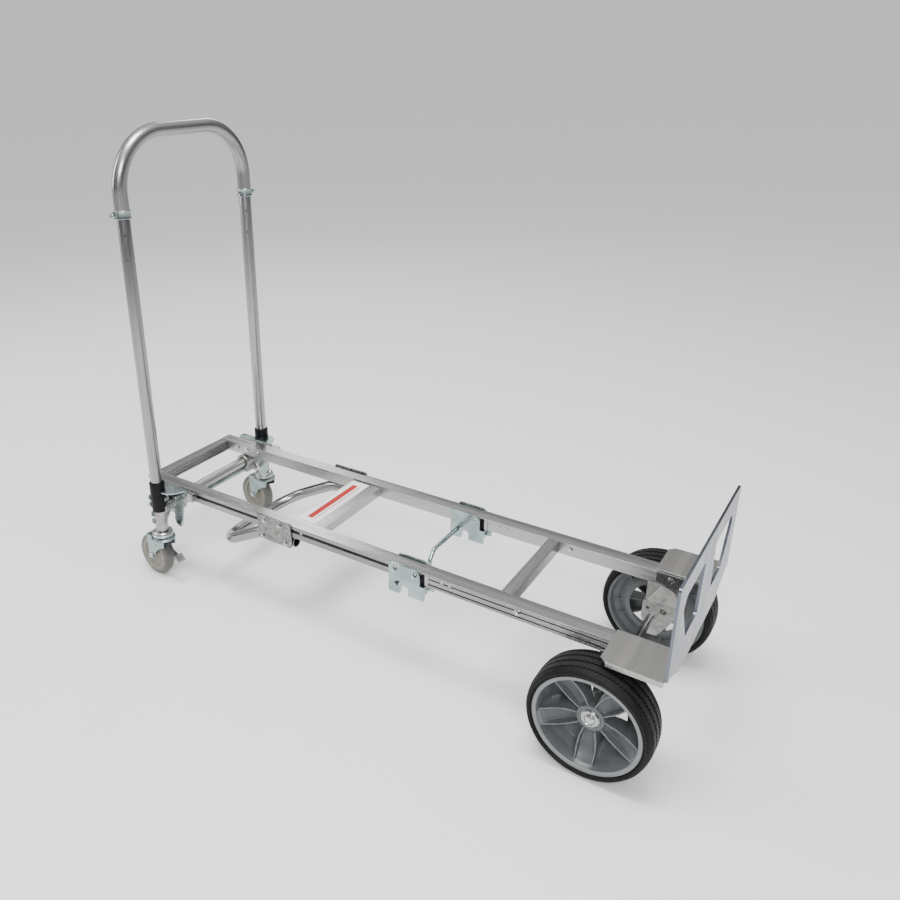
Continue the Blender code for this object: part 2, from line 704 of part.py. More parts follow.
def build_handle(aluminium, black, cast, dark, zinc):
    holder = pivot("handle_pivot", (HANDLE_X, 0, PIVOT_Z))
    at = holder.location
    leg_top, leg_bottom = 1.0300, 0.2450
    top = HANDLE_TOP - LOOP_RADIUS
    loop = bent_path(
        [
            (HANDLE_X, -LEG_Y, LOOP_BOTTOM, 0),
            (HANDLE_X, -LEG_Y, top, LOOP_BEND),
            (HANDLE_X, LEG_Y, top, LOOP_BEND),
            (HANDLE_X, LEG_Y, LOOP_BOTTOM, 0),
        ],
        steps=8,
    )
    add("handle_loop", tube(loop, LOOP_RADIUS, 16, LEG_RADIUS + 0.0007), aluminium, holder, at)

    cross_end, socket_end, socket_radius = 0.1600, 0.1190, 0.0200
    bar_z, bar_radius = PIVOT_Z - 0.0240, 0.0070
    tube_shape = pipe("y", (HANDLE_X, 0, PIVOT_Z), 0.0145, 0.0125, -cross_end, cross_end)
    add("handle_cross_tube", tube_shape, aluminium, holder, at)
    bar = rod("y", (HANDLE_X, 0, bar_z), bar_radius, -0.1490, 0.1490, 16)
    add("latch_bar", bar, zinc, holder, at)

    for side, s in SIDES.items():
        leg_axis = (HANDLE_X, s * LEG_Y, 0)
        leg = pipe("z", leg_axis, LEG_RADIUS, 0.0140, leg_bottom, leg_top)
        add(f"handle_leg_{side}", leg, aluminium, holder, at)

        collar = pipe("z", leg_axis, LOOP_RADIUS + 0.0028, LOOP_RADIUS + CLEARANCE, 0.9835, 1.0035)
        lug = box(
            (HANDLE_X - 0.0060, HANDLE_X + 0.0060),
            across(side, LEG_Y + LOOP_RADIUS + 0.0012, LEG_Y + LOOP_RADIUS + 0.0090),
            (0.9860, 1.0010),
        )
        add(f"loop_clamp_{side}", collar, zinc, holder, at, joins=[lug])
        knob = lathe(
            [
                (s * (LEG_Y + LOOP_RADIUS + 0.0093), 0.0050),
                (s * (LEG_Y + LOOP_RADIUS + 0.0100), 0.0072),
                (s * (LEG_Y + LOOP_RADIUS + 0.0165), 0.0072),
                (s * (LEG_Y + LOOP_RADIUS + 0.0180), 0.0050),
            ],
            "y",
            (HANDLE_X, 0, 0.9935),
            12,
        )
        add(f"clamp_knob_{side}", knob, dark, holder, at)

        # The black sleeve joins the leg to the fitting below, and is notched for the side socket.
        sleeve = pipe(
            "z", leg_axis, SLEEVE_RADIUS, BARREL_RADIUS + CLEARANCE, SLEEVE_BOTTOM, SLEEVE_TOP, 24
        )
        notch = rod(
            "y",
            (HANDLE_X, 0, PIVOT_Z),
            socket_radius + 0.0006,
            *across(side, 0.1500, LEG_Y - 0.0010),
            24,
        )
        low_notch = box(
            (HANDLE_X - socket_radius - 0.0006, HANDLE_X + socket_radius + 0.0006),
            across(side, 0.1500, LEG_Y - 0.0010),
            (SLEEVE_BOTTOM - 0.0100, PIVOT_Z),
        )
        add(f"leg_sleeve_{side}", sleeve, black, holder, at, cuts=[notch, low_notch])

        barrel = rod("z", leg_axis, BARREL_RADIUS, BARREL_BOTTOM, leg_bottom - 0.0015, 24)
        socket = rod(
            "y", (HANDLE_X, 0, PIVOT_Z), socket_radius, *across(side, socket_end, LEG_Y - 0.0040), 24
        )
        ring = rod(
            "y",
            (HANDLE_X, 0, PIVOT_Z),
            socket_radius + 0.0026,
            *across(side, socket_end - 0.0010, RAIL_INNER - 0.0020),
            24,
        )
        lug = box(
            (HANDLE_X - 0.0105, HANDLE_X + 0.0105),
            across(side, 0.1240, 0.1680),
            (bar_z - 0.0105, PIVOT_Z - 0.0080),
        )
        boss = rod("x", (0, s * 0.1580, bar_z - 0.0065), 0.0085, HANDLE_X + 0.0040, HANDLE_X + 0.0180, 16)
        gusset = prism(
            [
                (s * 0.1775, PIVOT_Z - 0.0060),
                (s * 0.1775, bar_z - 0.0020),
                (s * (LEG_Y - 0.0080), 0.1560),
                (s * (LEG_Y - 0.0080), PIVOT_Z - 0.0060),
            ],
            "x",
            HANDLE_X - 0.0045,
            HANDLE_X + 0.0045,
        )
        bore = rod(
            "y",
            (HANDLE_X, 0, PIVOT_Z),
            0.0145 + CLEARANCE,
            *across(side, socket_end - 0.0100, cross_end + 0.0005),
            24,
        )
        bar_bore = rod(
            "y",
            (HANDLE_X, 0, bar_z),
            bar_radius + CLEARANCE,
            *across(side, socket_end - 0.0100, 0.1495),
            16,
        )
        add(
            f"leg_elbow_{side}",
            barrel,
            cast,
            holder,
            at,
            joins=[socket, ring, lug, boss, gusset],
            cuts=[bore, bar_bore],
        )
        race = lathe(
            [
                (0.1300, 0.0),
                (0.1300, 0.0240),
                (0.1335, 0.0285),
                (0.1390, 0.0285),
                (0.1430, 0.0245),
                (BARREL_BOTTOM - CLEARANCE, 0.0215),
                (BARREL_BOTTOM - CLEARANCE, 0.0),
            ],
            "z",
            leg_axis,
            24,
        )
        add(f"caster_race_{side}", race, zinc, holder, at)
    return holder


# ---------------------------------------------------------------- casters


def build_caster(side, handle, zinc, core, tread, chrome, dark, brake):
    """One swivel caster, modelled in its own frame: the stem on the Z axis, the wheel towards -X."""
    s = SIDES[side]
    stem = (0, s * LEG_Y, -PIVOT_Z)
    swivel = pivot(f"caster_swivel_{side}_axis", stem, handle, CASTER_YAW)
    crown_top = CROWN_BOTTOM + CROWN_THICKNESS
    outer = FORK_INNER + FORK_THICKNESS
    disc = lathe(
        [
            (CROWN_BOTTOM, 0.0),
            (CROWN_BOTTOM, 0.0325),
            (crown_top, 0.0325),
            (crown_top + 0.0030, 0.0270),
            (0.1297, 0.0240),
            (0.1297, 0.0),
        ],
        "z",
        (0, 0, 0),
        28,
    )
    tail = prism(
        [(-0.0500, -outer), (0.0, -outer), (0.0, outer), (-0.0500, outer)],
        "z",
        CROWN_BOTTOM,
        crown_top,
    )
    cheek = [(-0.0500, CROWN_BOTTOM + 0.0015), (-0.0480, 0.0720)]
    cheek += arc((-CASTER_TRAIL, CASTER_RADIUS), 0.0105, 160, 345, 8)
    cheek += [(-0.0130, 0.0820), (0.0050, 0.0960), (0.0235, 0.1040), (0.0265, CROWN_BOTTOM + 0.0015)]
    cheeks = [prism(cheek, "y", low, low + FORK_THICKNESS) for low in (-outer, FORK_INNER)]
    axle_hole = rod("y", (-CASTER_TRAIL, 0, CASTER_RADIUS), 0.0045, -0.03, 0.03, 16)
    add(
        f"caster_fork_{side}",
        disc,
        zinc,
        swivel,
        joins=[tail, *cheeks],
        cuts=[axle_hole],
    )
    spindle = [
        (-outer - 0.0050, 0.0),
        (-outer - 0.0050, 0.0070),
        (-outer - 0.0006, 0.0085),
        (-outer - 0.0006, 0.0042),
        (outer + 0.0006, 0.0042),
        (outer + 0.0006, 0.0085),
        (outer + 0.0050, 0.0070),
        (outer + 0.0050, 0.0),
    ]
    axle_at = (-CASTER_TRAIL, 0, CASTER_RADIUS)
    add(f"caster_axle_{side}", lathe(spindle, "y", axle_at, 16), chrome, swivel)

    wheel = pivot(f"caster_wheel_{side}_axis", axle_at, swivel)
    tyre_inner = CASTER_RADIUS - 0.0105
    half = CASTER_WIDTH / 2
    hub = [
        (-half - 0.0010, 0.0048),
        (-half - 0.0010, 0.0130),
        (-half + 0.0060, 0.0165),
        (-half + 0.0060, 0.0330),
        (-half + 0.0010, 0.0370),
        (-half + 0.0010, tyre_inner - 0.0004),
    ]
    hub += [(-along, radius) for along, radius in reversed(hub)]
    add(f"caster_core_{side}", lathe(hub, "y", (0, 0, 0), 24, closed=True), core, wheel)
    ring = [
        (-half + 0.0010, tyre_inner),
        (-half, tyre_inner + 0.0040),
        (-half + 0.0030, CASTER_RADIUS - 0.0030),
        (-half + 0.0090, CASTER_RADIUS),
    ]
    ring += [(-along, radius) for along, radius in reversed(ring)]
    add(f"caster_tread_{side}", lathe(ring, "y", (0, 0, 0), 32, closed=True), tread, wheel)

    if brake:
        hinge_at = (0.0205, 0, 0.1125)
        hinge = pivot("brake_pedal_axis", hinge_at, swivel)
        hub_pin = rod("y", hinge_at, 0.0045, -FORK_INNER + 0.0004, FORK_INNER - 0.0004, 12)
        arm = [
            (0.0175, 0.1150),
            (0.0190, 0.1000),
            (0.0235, 0.0900),
            (0.0300, 0.0880),
            (0.0580, 0.0700),
            (0.0640, 0.0660),
            (0.0660, 0.0690),
            (0.0320, 0.0930),
            (0.0265, 0.1000),
            (0.0250, 0.1150),
        ]
        arm_shape = prism(arm, "y", -0.0090, 0.0090)
        slope = Matrix.Translation((0.0680, 0, 0.0840)) @ Matrix.Rotation(math.radians(-52), 4, "Y")
        pad = box((-0.0170, 0.0170), (-0.0125, 0.0125), (-0.0025, 0.0025))
        bmesh.ops.transform(pad, matrix=slope, verts=pad.verts)
        add("brake_pedal", arm_shape, dark, hinge, hinge_at, joins=[hub_pin, pad])


def main():
    clear_scene()
    aluminium = material("mill_aluminium", (0.72, 0.72, 0.71), 0.34, 1.0)
    nose_finish = material("rolled_aluminium_plate", (0.66, 0.69, 0.73), 0.30, 1.0)
    zinc = material("zinc_plated_steel", (0.62, 0.67, 0.67), 0.32, 1.0)
    cast = material("cast_alloy", (0.62, 0.63, 0.61), 0.50, 1.0)
    black = material("black_plastic", (0.015, 0.016, 0.018), 0.40, 0.0)
    dark = material("dark_steel", (0.09, 0.09, 0.10), 0.45, 1.0)
    rubber = material("black_rubber", (0.02, 0.02, 0.021), 0.75, 0.0)
    wheel_grey = material("grey_moulded_wheel", (0.30, 0.31, 0.32), 0.50, 0.0)
    chrome = material("bright_chrome", (0.85, 0.86, 0.87), 0.12, 1.0)
    core = material("beige_grey_plastic", (0.36, 0.35, 0.29), 0.55, 0.0)
    soft_tread = material("soft_grey_tread", (0.24, 0.23, 0.21), 0.70, 0.0)

    build_rails(aluminium, dark)
    build_cross_members(aluminium)
    build_grab_handle(aluminium, zinc)
    build_saddles(zinc)
    build_release_rod(zinc)
    build_nose(nose_finish, cast, dark)
    build_axle_and_wheels(zinc, rubber, wheel_grey, chrome)
    build_handle_brackets(zinc, aluminium)
    handle = build_handle(aluminium, black, cast, dark, zinc)
    for side in SIDES:
        build_caster(side, handle, zinc, core, soft_tread, chrome, dark, brake=side == "near")


main()
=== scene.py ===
# %% [markdown]
# # A convertible hand truck, from its CAD frame to its finished surfaces
#
# The truck is an aluminium frame on two large wheels and two casters. The frame that this script loads
# already holds every piece at its true size and place. What is left is what the eye sees: softened
# edges, turned and drawn surfaces, moulded wheels, tread, fasteners and honest materials. Pieces with
# flat walls are copied from the frame and refined, and round ones are turned or drawn again finely.

# %% Load the frame
import json
import math

import bmesh
import bpy
from mathutils import Matrix, Vector

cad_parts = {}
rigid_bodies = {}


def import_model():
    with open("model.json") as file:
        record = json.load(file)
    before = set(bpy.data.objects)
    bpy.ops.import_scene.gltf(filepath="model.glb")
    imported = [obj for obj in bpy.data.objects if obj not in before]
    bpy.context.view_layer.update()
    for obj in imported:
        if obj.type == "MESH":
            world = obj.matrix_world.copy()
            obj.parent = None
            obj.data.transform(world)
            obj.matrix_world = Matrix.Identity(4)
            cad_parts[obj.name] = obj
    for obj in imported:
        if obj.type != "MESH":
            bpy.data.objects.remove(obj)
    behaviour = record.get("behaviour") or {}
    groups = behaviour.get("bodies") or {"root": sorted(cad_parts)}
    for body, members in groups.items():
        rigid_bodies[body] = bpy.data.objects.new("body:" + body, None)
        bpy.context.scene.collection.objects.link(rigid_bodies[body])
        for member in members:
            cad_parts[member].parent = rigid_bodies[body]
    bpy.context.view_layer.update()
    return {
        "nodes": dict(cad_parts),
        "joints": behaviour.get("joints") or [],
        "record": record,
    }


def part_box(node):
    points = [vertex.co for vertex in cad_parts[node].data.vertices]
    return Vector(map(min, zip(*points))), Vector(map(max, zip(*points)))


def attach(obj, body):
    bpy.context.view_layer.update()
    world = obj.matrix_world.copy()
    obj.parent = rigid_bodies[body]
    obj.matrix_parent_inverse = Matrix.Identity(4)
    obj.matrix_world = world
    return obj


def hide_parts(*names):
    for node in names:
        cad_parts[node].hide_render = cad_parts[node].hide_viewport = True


for startup_object in list(bpy.data.objects):
    bpy.data.objects.remove(startup_object)
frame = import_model()
SIDES = {"near": -1, "far": 1}
ORIGIN = (0, 0, 0)


# %% [markdown]
# ## Shared finishes
#
# Three effects appear on almost every surface: a grain that is finer across the work than along it, a
# slow mottling, and thin random scratches. The first two share one shader node group and the third has
# its own, each with named inputs, so that the materials only choose values. A group puts out masks and
# values, and the shader stays in the material, because an exporter can follow values through a group
# but not a shader.

# %% A short way to build node trees


def give(tree, socket, value):
    """Sets an input to a value, or links it to another node's output."""
    if isinstance(value, bpy.types.NodeSocket):
        tree.links.new(value, socket)
    else:
        socket.default_value = value


def add(tree, kind, inputs=None, **settings):
    """A new node, with its settings made and its inputs given."""
    node = tree.nodes.new(kind)
    for label, value in settings.items():
        setattr(node, label, value)
    for label, value in (inputs or {}).items():
        give(tree, node.inputs[label], value)
    return node


def new_group(name, values, outputs):
    """A shader node group with a Place input, floats given as {name: default}, and float outputs."""
    group = bpy.data.node_groups.new(name, "ShaderNodeTree")
    group.interface.new_socket("Place", in_out="INPUT", socket_type="NodeSocketVector")
    for label, default in values.items():
        socket = group.interface.new_socket(label, in_out="INPUT", socket_type="NodeSocketFloat")
        socket.default_value = default
    for label in outputs:
        group.interface.new_socket(label, in_out="OUTPUT", socket_type="NodeSocketFloat")
    return group, group.nodes.new("NodeGroupInput").outputs


def add_noise(tree, place, scale, detail, roughness=0.55):
    inputs = {"Vector": place, "Scale": scale, "Detail": detail, "Roughness": roughness}
    return add(tree, "ShaderNodeTexNoise", inputs).outputs["Fac"]


def add_range(tree, value, low, high, to_low=0.0, to_high=1.0):
    inputs = {"Value": value, "From Min": low, "From Max": high, "To Min": to_low, "To Max": to_high}
    return add(tree, "ShaderNodeMapRange", inputs, interpolation_type="SMOOTHSTEP").outputs["Result"]


def add_math(tree, operation, first, second):
    return add(tree, "ShaderNodeMath", {0: first, 1: second}, operation=operation).outputs[0]


# %% The grain and scratch groups
grain, given = new_group("worked_grain", {"Fine": 400.0, "Broad": 12.0}, ("Grain", "Mottle"))
fine = add_noise(grain, given["Place"], given["Fine"], 5.0, 0.65)
broad = add_noise(grain, given["Place"], given["Broad"], 3.0)
masks = {"Grain": add_range(grain, fine, 0.28, 0.72), "Mottle": add_range(grain, broad, 0.32, 0.68)}
add(grain, "NodeGroupOutput", masks)

scratch, given = new_group("thin_scratches", {"Scale": 25.0, "Amount": 0.5}, ("Mask",))
marks = 0.0
for turn in (0.35, 1.9, 2.7):
    inputs = {"Rotation": (turn, turn * 0.6, turn * 1.7), "Scale": (1.0, 14.0, 1.0)}
    place = add(scratch, "ShaderNodeMapping", {"Vector": given["Place"], **inputs}).outputs["Vector"]
    line = add_noise(scratch, place, given["Scale"], 2.0)
    marks = add_math(scratch, "MAXIMUM", marks, add_range(scratch, line, 0.715, 0.735))
add(scratch, "NodeGroupOutput", {"Mask": add_math(scratch, "MULTIPLY", marks, given["Amount"])})
print("shared effects:", grain.name, "and", scratch.name)


# %% [markdown]
# ## One recipe for every material
#
# A real surface differs from a flat colour in three ways: its colour drifts, its polish drifts, and it
# has relief too fine to model. The recipe below does all three from the two groups. What changes from
# one finish to the next is the pair of colours, the pair of roughness values, the direction of the
# grain and the depth of the relief. A drawn tube takes its grain from its own UV map, which runs along
# the bend, and everything else takes it from its place in space.

# %% The recipe


def finish(name, dark, light, rough, metallic=0.0, grain_along=None, fine=500.0, broad=14.0, relief=0.1,
    depth=0.0003, scratches=0.0, from_uv=False, mottle_share=0.5, specular=0.5):
    """A Principled material whose colour, polish and relief all vary. `rough` is (low, high)."""
    material = bpy.data.materials.new(name)
    material.use_nodes = True
    tree = material.node_tree
    place = worked_place = add(tree, "ShaderNodeTexCoord").outputs["UV" if from_uv else "Object"]
    if grain_along:
        inputs = {"Vector": place, "Scale": grain_along}
        worked_place = add(tree, "ShaderNodeMapping", inputs).outputs["Vector"]
    inputs = {"Place": worked_place, "Fine": fine, "Broad": broad}
    worked = add(tree, "ShaderNodeGroup", inputs, node_tree=grain).outputs
    share = add_math(tree, "MULTIPLY", worked["Mottle"], mottle_share)
    rest = add_math(tree, "MULTIPLY", worked["Grain"], 1.0 - mottle_share)
    blend = lift = add_math(tree, "ADD", share, rest)
    if scratches:
        lines = add(tree, "ShaderNodeGroup", {"Place": place, "Amount": scratches}, node_tree=scratch)
        lift = add_math(tree, "ADD", blend, lines.outputs["Mask"])
    inputs = {"Factor": lift, "A": (*dark, 1.0), "B": (*light, 1.0)}
    colour = add(tree, "ShaderNodeMix", inputs, data_type="RGBA").outputs["Result"]
    bump = add(tree, "ShaderNodeBump", {"Strength": relief, "Distance": depth, "Height": worked["Grain"]})
    for label, value in (("Base Color", colour), ("Metallic", metallic),
        ("Roughness", add_range(tree, blend, 0.0, 1.0, *rough)), ("Specular IOR Level", specular),
        ("Normal", bump.outputs["Normal"])):
        give(tree, tree.nodes["Principled BSDF"].inputs[label], value)
    return material


# %% The truck's finishes
ALONG_X, ALONG_Y, ALONG_Z = (0.02, 1.0, 1.0), (1.0, 0.02, 1.0), (1.0, 1.0, 0.02)
DRAWN = dict(metallic=1.0, fine=900.0, broad=26.0, relief=0.09, scratches=0.18, mottle_share=0.6)
rail_finish = finish("extruded_rail", (0.25, 0.25, 0.245), (0.46, 0.46, 0.45), (0.18, 0.36),
    grain_along=ALONG_X, **DRAWN)
member_finish = finish("extruded_member", (0.27, 0.27, 0.265), (0.46, 0.46, 0.45), (0.20, 0.38),
    grain_along=ALONG_Y, **DRAWN)
leg_finish = finish("drawn_leg", (0.24, 0.24, 0.24), (0.42, 0.42, 0.42), (0.18, 0.34),
    grain_along=ALONG_Z, **DRAWN)
tube_finish = finish("bent_tube", (0.20, 0.195, 0.19), (0.45, 0.44, 0.43), (0.16, 0.34), metallic=1.0,
    grain_along=(1.0, 0.03, 1.0), fine=90.0, broad=5.0, relief=0.12, from_uv=True)
plate_finish = finish("rolled_plate", (0.115, 0.125, 0.15), (0.19, 0.205, 0.24), (0.20, 0.32),
    grain_along=ALONG_Z, **DRAWN)
ear_finish = finish("bracket_plate", (0.33, 0.325, 0.305), (0.43, 0.42, 0.40), (0.24, 0.36),
    grain_along=ALONG_Y, **DRAWN)
zinc_finish = finish("zinc_plated_steel", (0.24, 0.30, 0.305), (0.40, 0.47, 0.465), (0.16, 0.32),
    metallic=1.0, fine=260.0, broad=22.0, relief=0.05, scratches=0.25, mottle_share=0.8)
grab_plate_finish = finish("dull_cast_plate", (0.11, 0.11, 0.105), (0.34, 0.34, 0.325), (0.24, 0.44),
    metallic=1.0, fine=420.0, broad=90.0, relief=0.25, scratches=0.35, mottle_share=0.6)
cast_finish = finish("sand_cast_alloy", (0.21, 0.215, 0.205), (0.47, 0.47, 0.45), (0.24, 0.42),
    metallic=1.0, fine=900.0, broad=60.0, relief=0.22, depth=0.0005)
# Black plastic for the sleeves, also used as painted shade in the notches of the rail joints.
black_finish = finish("black_moulding_and_shade", (0.0020, 0.0021, 0.0030), (0.0060, 0.0064, 0.0080), (0.38, 0.52),
    fine=1100.0, broad=30.0, relief=0.12, specular=0.16)
dark_finish = finish("blackened_steel", (0.020, 0.021, 0.024), (0.075, 0.077, 0.082), (0.34, 0.52),
    metallic=0.6, broad=60.0, scratches=0.3)
# Near-black metal for the rail's T-slot and the open holes: painted shade where the slot and the holes lie
# in shadow.
recess_shade_finish = finish("painted_recess_shade", (0.018, 0.019, 0.020), (0.060, 0.061, 0.062), (0.45, 0.65),
    metallic=0.8, grain_along=ALONG_X, fine=400.0, broad=40.0)
rubber_finish = finish("tyre_rubber", (0.0035, 0.0037, 0.0042), (0.0115, 0.0118, 0.0125), (0.48, 0.68),
    fine=800.0, broad=25.0, relief=0.25, specular=0.22)
nylon_finish = finish("moulded_nylon", (0.070, 0.076, 0.079), (0.108, 0.115, 0.119), (0.36, 0.52),
    fine=1400.0, broad=20.0, relief=0.12)
# A lighter nylon for the spokes' rib tops and the rim's outer lip: painted highlight where these edges
# catch the light.
nylon_highlight_finish = finish("painted_highlight_nylon", (0.150, 0.158, 0.162), (0.215, 0.223, 0.228), (0.28, 0.42),
    fine=1400.0, broad=20.0, relief=0.08)
chrome_finish = finish("bright_plating", (0.34, 0.35, 0.35), (0.58, 0.59, 0.59), (0.10, 0.22),
    metallic=1.0, fine=300.0, broad=60.0, relief=0.03)
core_finish = finish("caster_core_plastic", (0.150, 0.145, 0.110), (0.240, 0.233, 0.190), (0.38, 0.55),
    fine=900.0, broad=40.0)
tread_finish = finish("soft_grey_tread", (0.085, 0.082, 0.072), (0.130, 0.125, 0.112), (0.42, 0.62),
    fine=700.0, broad=35.0, relief=0.15)
FILM = dict(rough=(0.45, 0.60), broad=30.0, relief=0.02, specular=0.3)
label_finish = finish("label_film", (0.70, 0.70, 0.69), (0.84, 0.84, 0.83), **FILM)
stripe_finish = finish("label_stripe", (0.30, 0.004, 0.004), (0.42, 0.009, 0.008), **FILM)
print("finishes:", len(bpy.data.materials))


# %% [markdown]
# ## Helpers for making and handing over pieces
#
# Every piece ends as a plain mesh at the origin with its place in its vertices. It then rides on the
# body that it moves with, and the CAD nodes it replaces are hidden.

# %% Hand a piece over to the frame


def node_body(node):
    """The body that a CAD node belongs to."""
    bodies = frame["record"]["behaviour"]["bodies"]
    return next(body for body, nodes in bodies.items() if node in nodes)


def node_slot(node):
    return next(s["material_slot"] for s in frame["record"]["subparts"] if s["node"] == node)


def paint(piece, *materials):
    """Gives a piece these materials and no others."""
    piece.data.materials.clear()
    for material in materials:
        piece.data.materials.append(material)


def mesh_object(name, shape, material, smooth_angle=35.0):
    """Turns a bmesh into a smooth-shaded object at the origin."""
    bmesh.ops.recalc_face_normals(shape, faces=shape.faces)
    mesh = bpy.data.meshes.new(name)
    shape.to_mesh(mesh)
    shape.free()
    mesh.shade_smooth()
    if smooth_angle is not None:
        mesh.set_sharp_from_angle(angle=math.radians(smooth_angle))
    made = bpy.data.objects.new(name, mesh)
    bpy.context.scene.collection.objects.link(made)
    paint(made, material)
    return made


def hand_over(piece, body, slot, *nodes):
    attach(piece, body)
    if nodes:
        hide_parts(*nodes)
    return piece


def stand_for(piece, node, *more):
    """Hands over a piece that replaces a CAD node, on that node's own body."""
    return hand_over(piece, node_body(node), node_slot(node), node, *more)


def refit(node, shape, material, smooth_angle=35.0):
    """Makes a shape the finished piece that replaces one CAD node."""
    return stand_for(mesh_object(f"{node}_finished", shape, material, smooth_angle), node)


def bake_modifiers(piece):
    """Makes what the modifiers show the piece's own mesh."""
    graph = bpy.context.evaluated_depsgraph_get()
    baked = bpy.data.meshes.new_from_object(piece.evaluated_get(graph))
    piece.modifiers.clear()
    piece.data = baked


def add_bevel(piece, width, segments, angle):
    bevel = piece.modifiers.new("edge", "BEVEL")
    bevel.width, bevel.segments = width, segments
    bevel.limit_method, bevel.angle_limit = "ANGLE", math.radians(angle)
    return bevel


def combine(piece, tool, operation, edge=None):
    """Cuts or joins a piece with a tool object, bevels it where asked, and removes the tool."""
    boolean = piece.modifiers.new("combine", "BOOLEAN")
    boolean.operation, boolean.object = operation, tool
    if edge:
        add_bevel(piece, *edge)
    bake_modifiers(piece)
    bpy.data.objects.remove(tool)


def middle_of(node):
    return [(low + high) / 2 for low, high in zip(*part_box(node))]


# %% Shapes that are turned, drawn or cut to an outline


def turned(profile, axis, centre, steps=64, closed=False):
    """Turns (along, radius) points about an axis of the world through centre."""
    order = {"x": (1, 2, 0), "y": (2, 0, 1), "z": (0, 1, 2)}[axis]
    shape = bmesh.new()
    rings = []
    for along, radius in profile:
        ring = []
        for k in range(1 if radius < 1e-7 else steps):
            turn = 2 * math.pi * k / steps
            place = [0.0, 0.0, 0.0]
            place[order[0]] = centre[order[0]] + radius * math.cos(turn)
            place[order[1]] = centre[order[1]] + radius * math.sin(turn)
            place[order[2]] = along
            ring.append(shape.verts.new(place))
        rings.append(ring)
    pairs = list(zip(rings, rings[1:])) + ([(rings[-1], rings[0])] if closed else [])
    for one, two in pairs:
        if len(one) + len(two) == 2:
            continue
        for k in range(steps):
            corners = [one[k % len(one)], one[(k + 1) % len(one)]]
            corners += [two[(k + 1) % len(two)], two[k % len(two)]]
            shape.faces.new(list(dict.fromkeys(corners)))
    if not closed:
        for ring in (rings[0], rings[-1]):
            if len(ring) > 1:
                shape.faces.new(ring)
    return shape


def softened(profile, radius=0.0008, steps=3, closed=False):
    """The same profile with its sharp corners rounded off."""
    soft = []
    count = len(profile)
    for k, here in enumerate(profile):
        here = Vector(here)
        if not closed and k in (0, count - 1):
            soft.append(tuple(here))
            continue
        back = Vector(profile[k - 1]) - here
        ahead = Vector(profile[(k + 1) % count]) - here
        cut = min(radius, back.length * 0.45, ahead.length * 0.45)
        if cut < 1e-6 or abs(math.pi - back.angle(ahead)) < 0.2:
            soft.append(tuple(here))
            continue
        start, end = here + back.normalized() * cut, here + ahead.normalized() * cut
        for s in range(steps + 1):
            t = s / steps
            soft.append(tuple(start * (1 - t) ** 2 + here * 2 * t * (1 - t) + end * t**2))
    return soft


def mirrored(profile):
    """A profile from one end to the middle, carried on to its mirror image."""
    return profile + [(-along, radius) for along, radius in reversed(profile)]


def rounded_route(corners, steps=12):
    """A 3-D route through (x, y, z, bend radius) corners."""
    route = []
    for k, (*place, radius) in enumerate(corners):
        here = Vector(place)
        if radius <= 0 or k in (0, len(corners) - 1):
            route.append(here)
            continue
        back = (Vector(corners[k - 1][:3]) - here).normalized()
        ahead = (Vector(corners[k + 1][:3]) - here).normalized()
        half = back.angle(ahead) / 2
        centre = here + (back + ahead).normalized() * (radius / math.sin(half))
        first = here + back * (radius / math.tan(half)) - centre
        last = here + ahead * (radius / math.tan(half)) - centre
        swing = first.angle(last)
        for s in range(steps + 1):
            t = s / steps
            mixed = first * math.sin((1 - t) * swing) + last * math.sin(t * swing)
            route.append(centre + mixed / math.sin(swing))
    return route


def drawn_tube(route, radius, wall=None, sides=36):
    """A tube along a route, with a UV map that runs along it. Without a wall it is a solid rod."""
    shape = bmesh.new()
    uv = shape.loops.layers.uv.new("along_tube")
    tangents = []
    for k in range(len(route)):
        back = (route[k] - route[k - 1]).normalized() if k else Vector()
        ahead = (route[k + 1] - route[k]).normalized() if k + 1 < len(route) else Vector()
        tangents.append((back + ahead).normalized())
    lengths = [0.0]
    for one, two in zip(route, route[1:]):
        lengths.append(lengths[-1] + (two - one).length)
    across = tangents[0].orthogonal().normalized()
    walls = [radius] if wall is None else [radius, radius - wall]
    rings = [[] for _ in walls]
    for place, tangent in zip(route, tangents):
        across = (across - tangent * across.dot(tangent)).normalized()
        other = tangent.cross(across)
        for size, made in zip(walls, rings):
            turns = [2 * math.pi * k / sides for k in range(sides)]
            made.append([
                shape.verts.new(place + (across * math.cos(t) + other * math.sin(t)) * size)
                for t in turns
            ])
    for size, made in zip(walls, rings):
        for j, (one, two) in enumerate(zip(made, made[1:])):
            for k in range(sides):
                n = (k + 1) % sides
                face = shape.faces.new([one[k], one[n], two[n], two[k]])
                corners = [(k, j), (k + 1, j), (k + 1, j + 1), (k, j + 1)]
                for loop, (u, v) in zip(face.loops, corners):
                    loop[uv].uv = (u / sides, lengths[v])
    for end in (0, -1):
        if wall is None:
            shape.faces.new(rings[0][end])
            continue
        for k in range(sides):
            n = (k + 1) % sides
            shape.faces.new([rings[0][end][k], rings[0][end][n], rings[1][end][n], rings[1][end][k]])
    return shape


def cut_out(outline, axis, low, high):
    """An outline in the plane across an axis, extruded from low to high."""
    order = {"x": (1, 2, 0), "y": (0, 2, 1), "z": (0, 1, 2)}[axis]
    shape = bmesh.new()
    low, high = sorted((low, high))

    def put(a, b, along):
        place = [0.0, 0.0, 0.0]
        for index, value in zip(order, (a, b, along)):
            place[index] = value
        return shape.verts.new(place)

    base = shape.faces.new([put(a, b, low) for a, b in outline])
    made = bmesh.ops.extrude_face_region(shape, geom=[base])["geom"]
    lift = Vector((0, 0, 0))
    lift[order[2]] = high - low
    bmesh.ops.translate(shape, verts=[v for v in made if isinstance(v, bmesh.types.BMVert)], vec=lift)
    bmesh.ops.recalc_face_normals(shape, faces=shape.faces)
    return shape


def block(one, two):
    """A box between two opposite corners."""
    (x0, y0, z0), (x1, y1, z1) = one, two
    return cut_out([(x0, y0), (x1, y0), (x1, y1), (x0, y1)], "z", z0, z1)


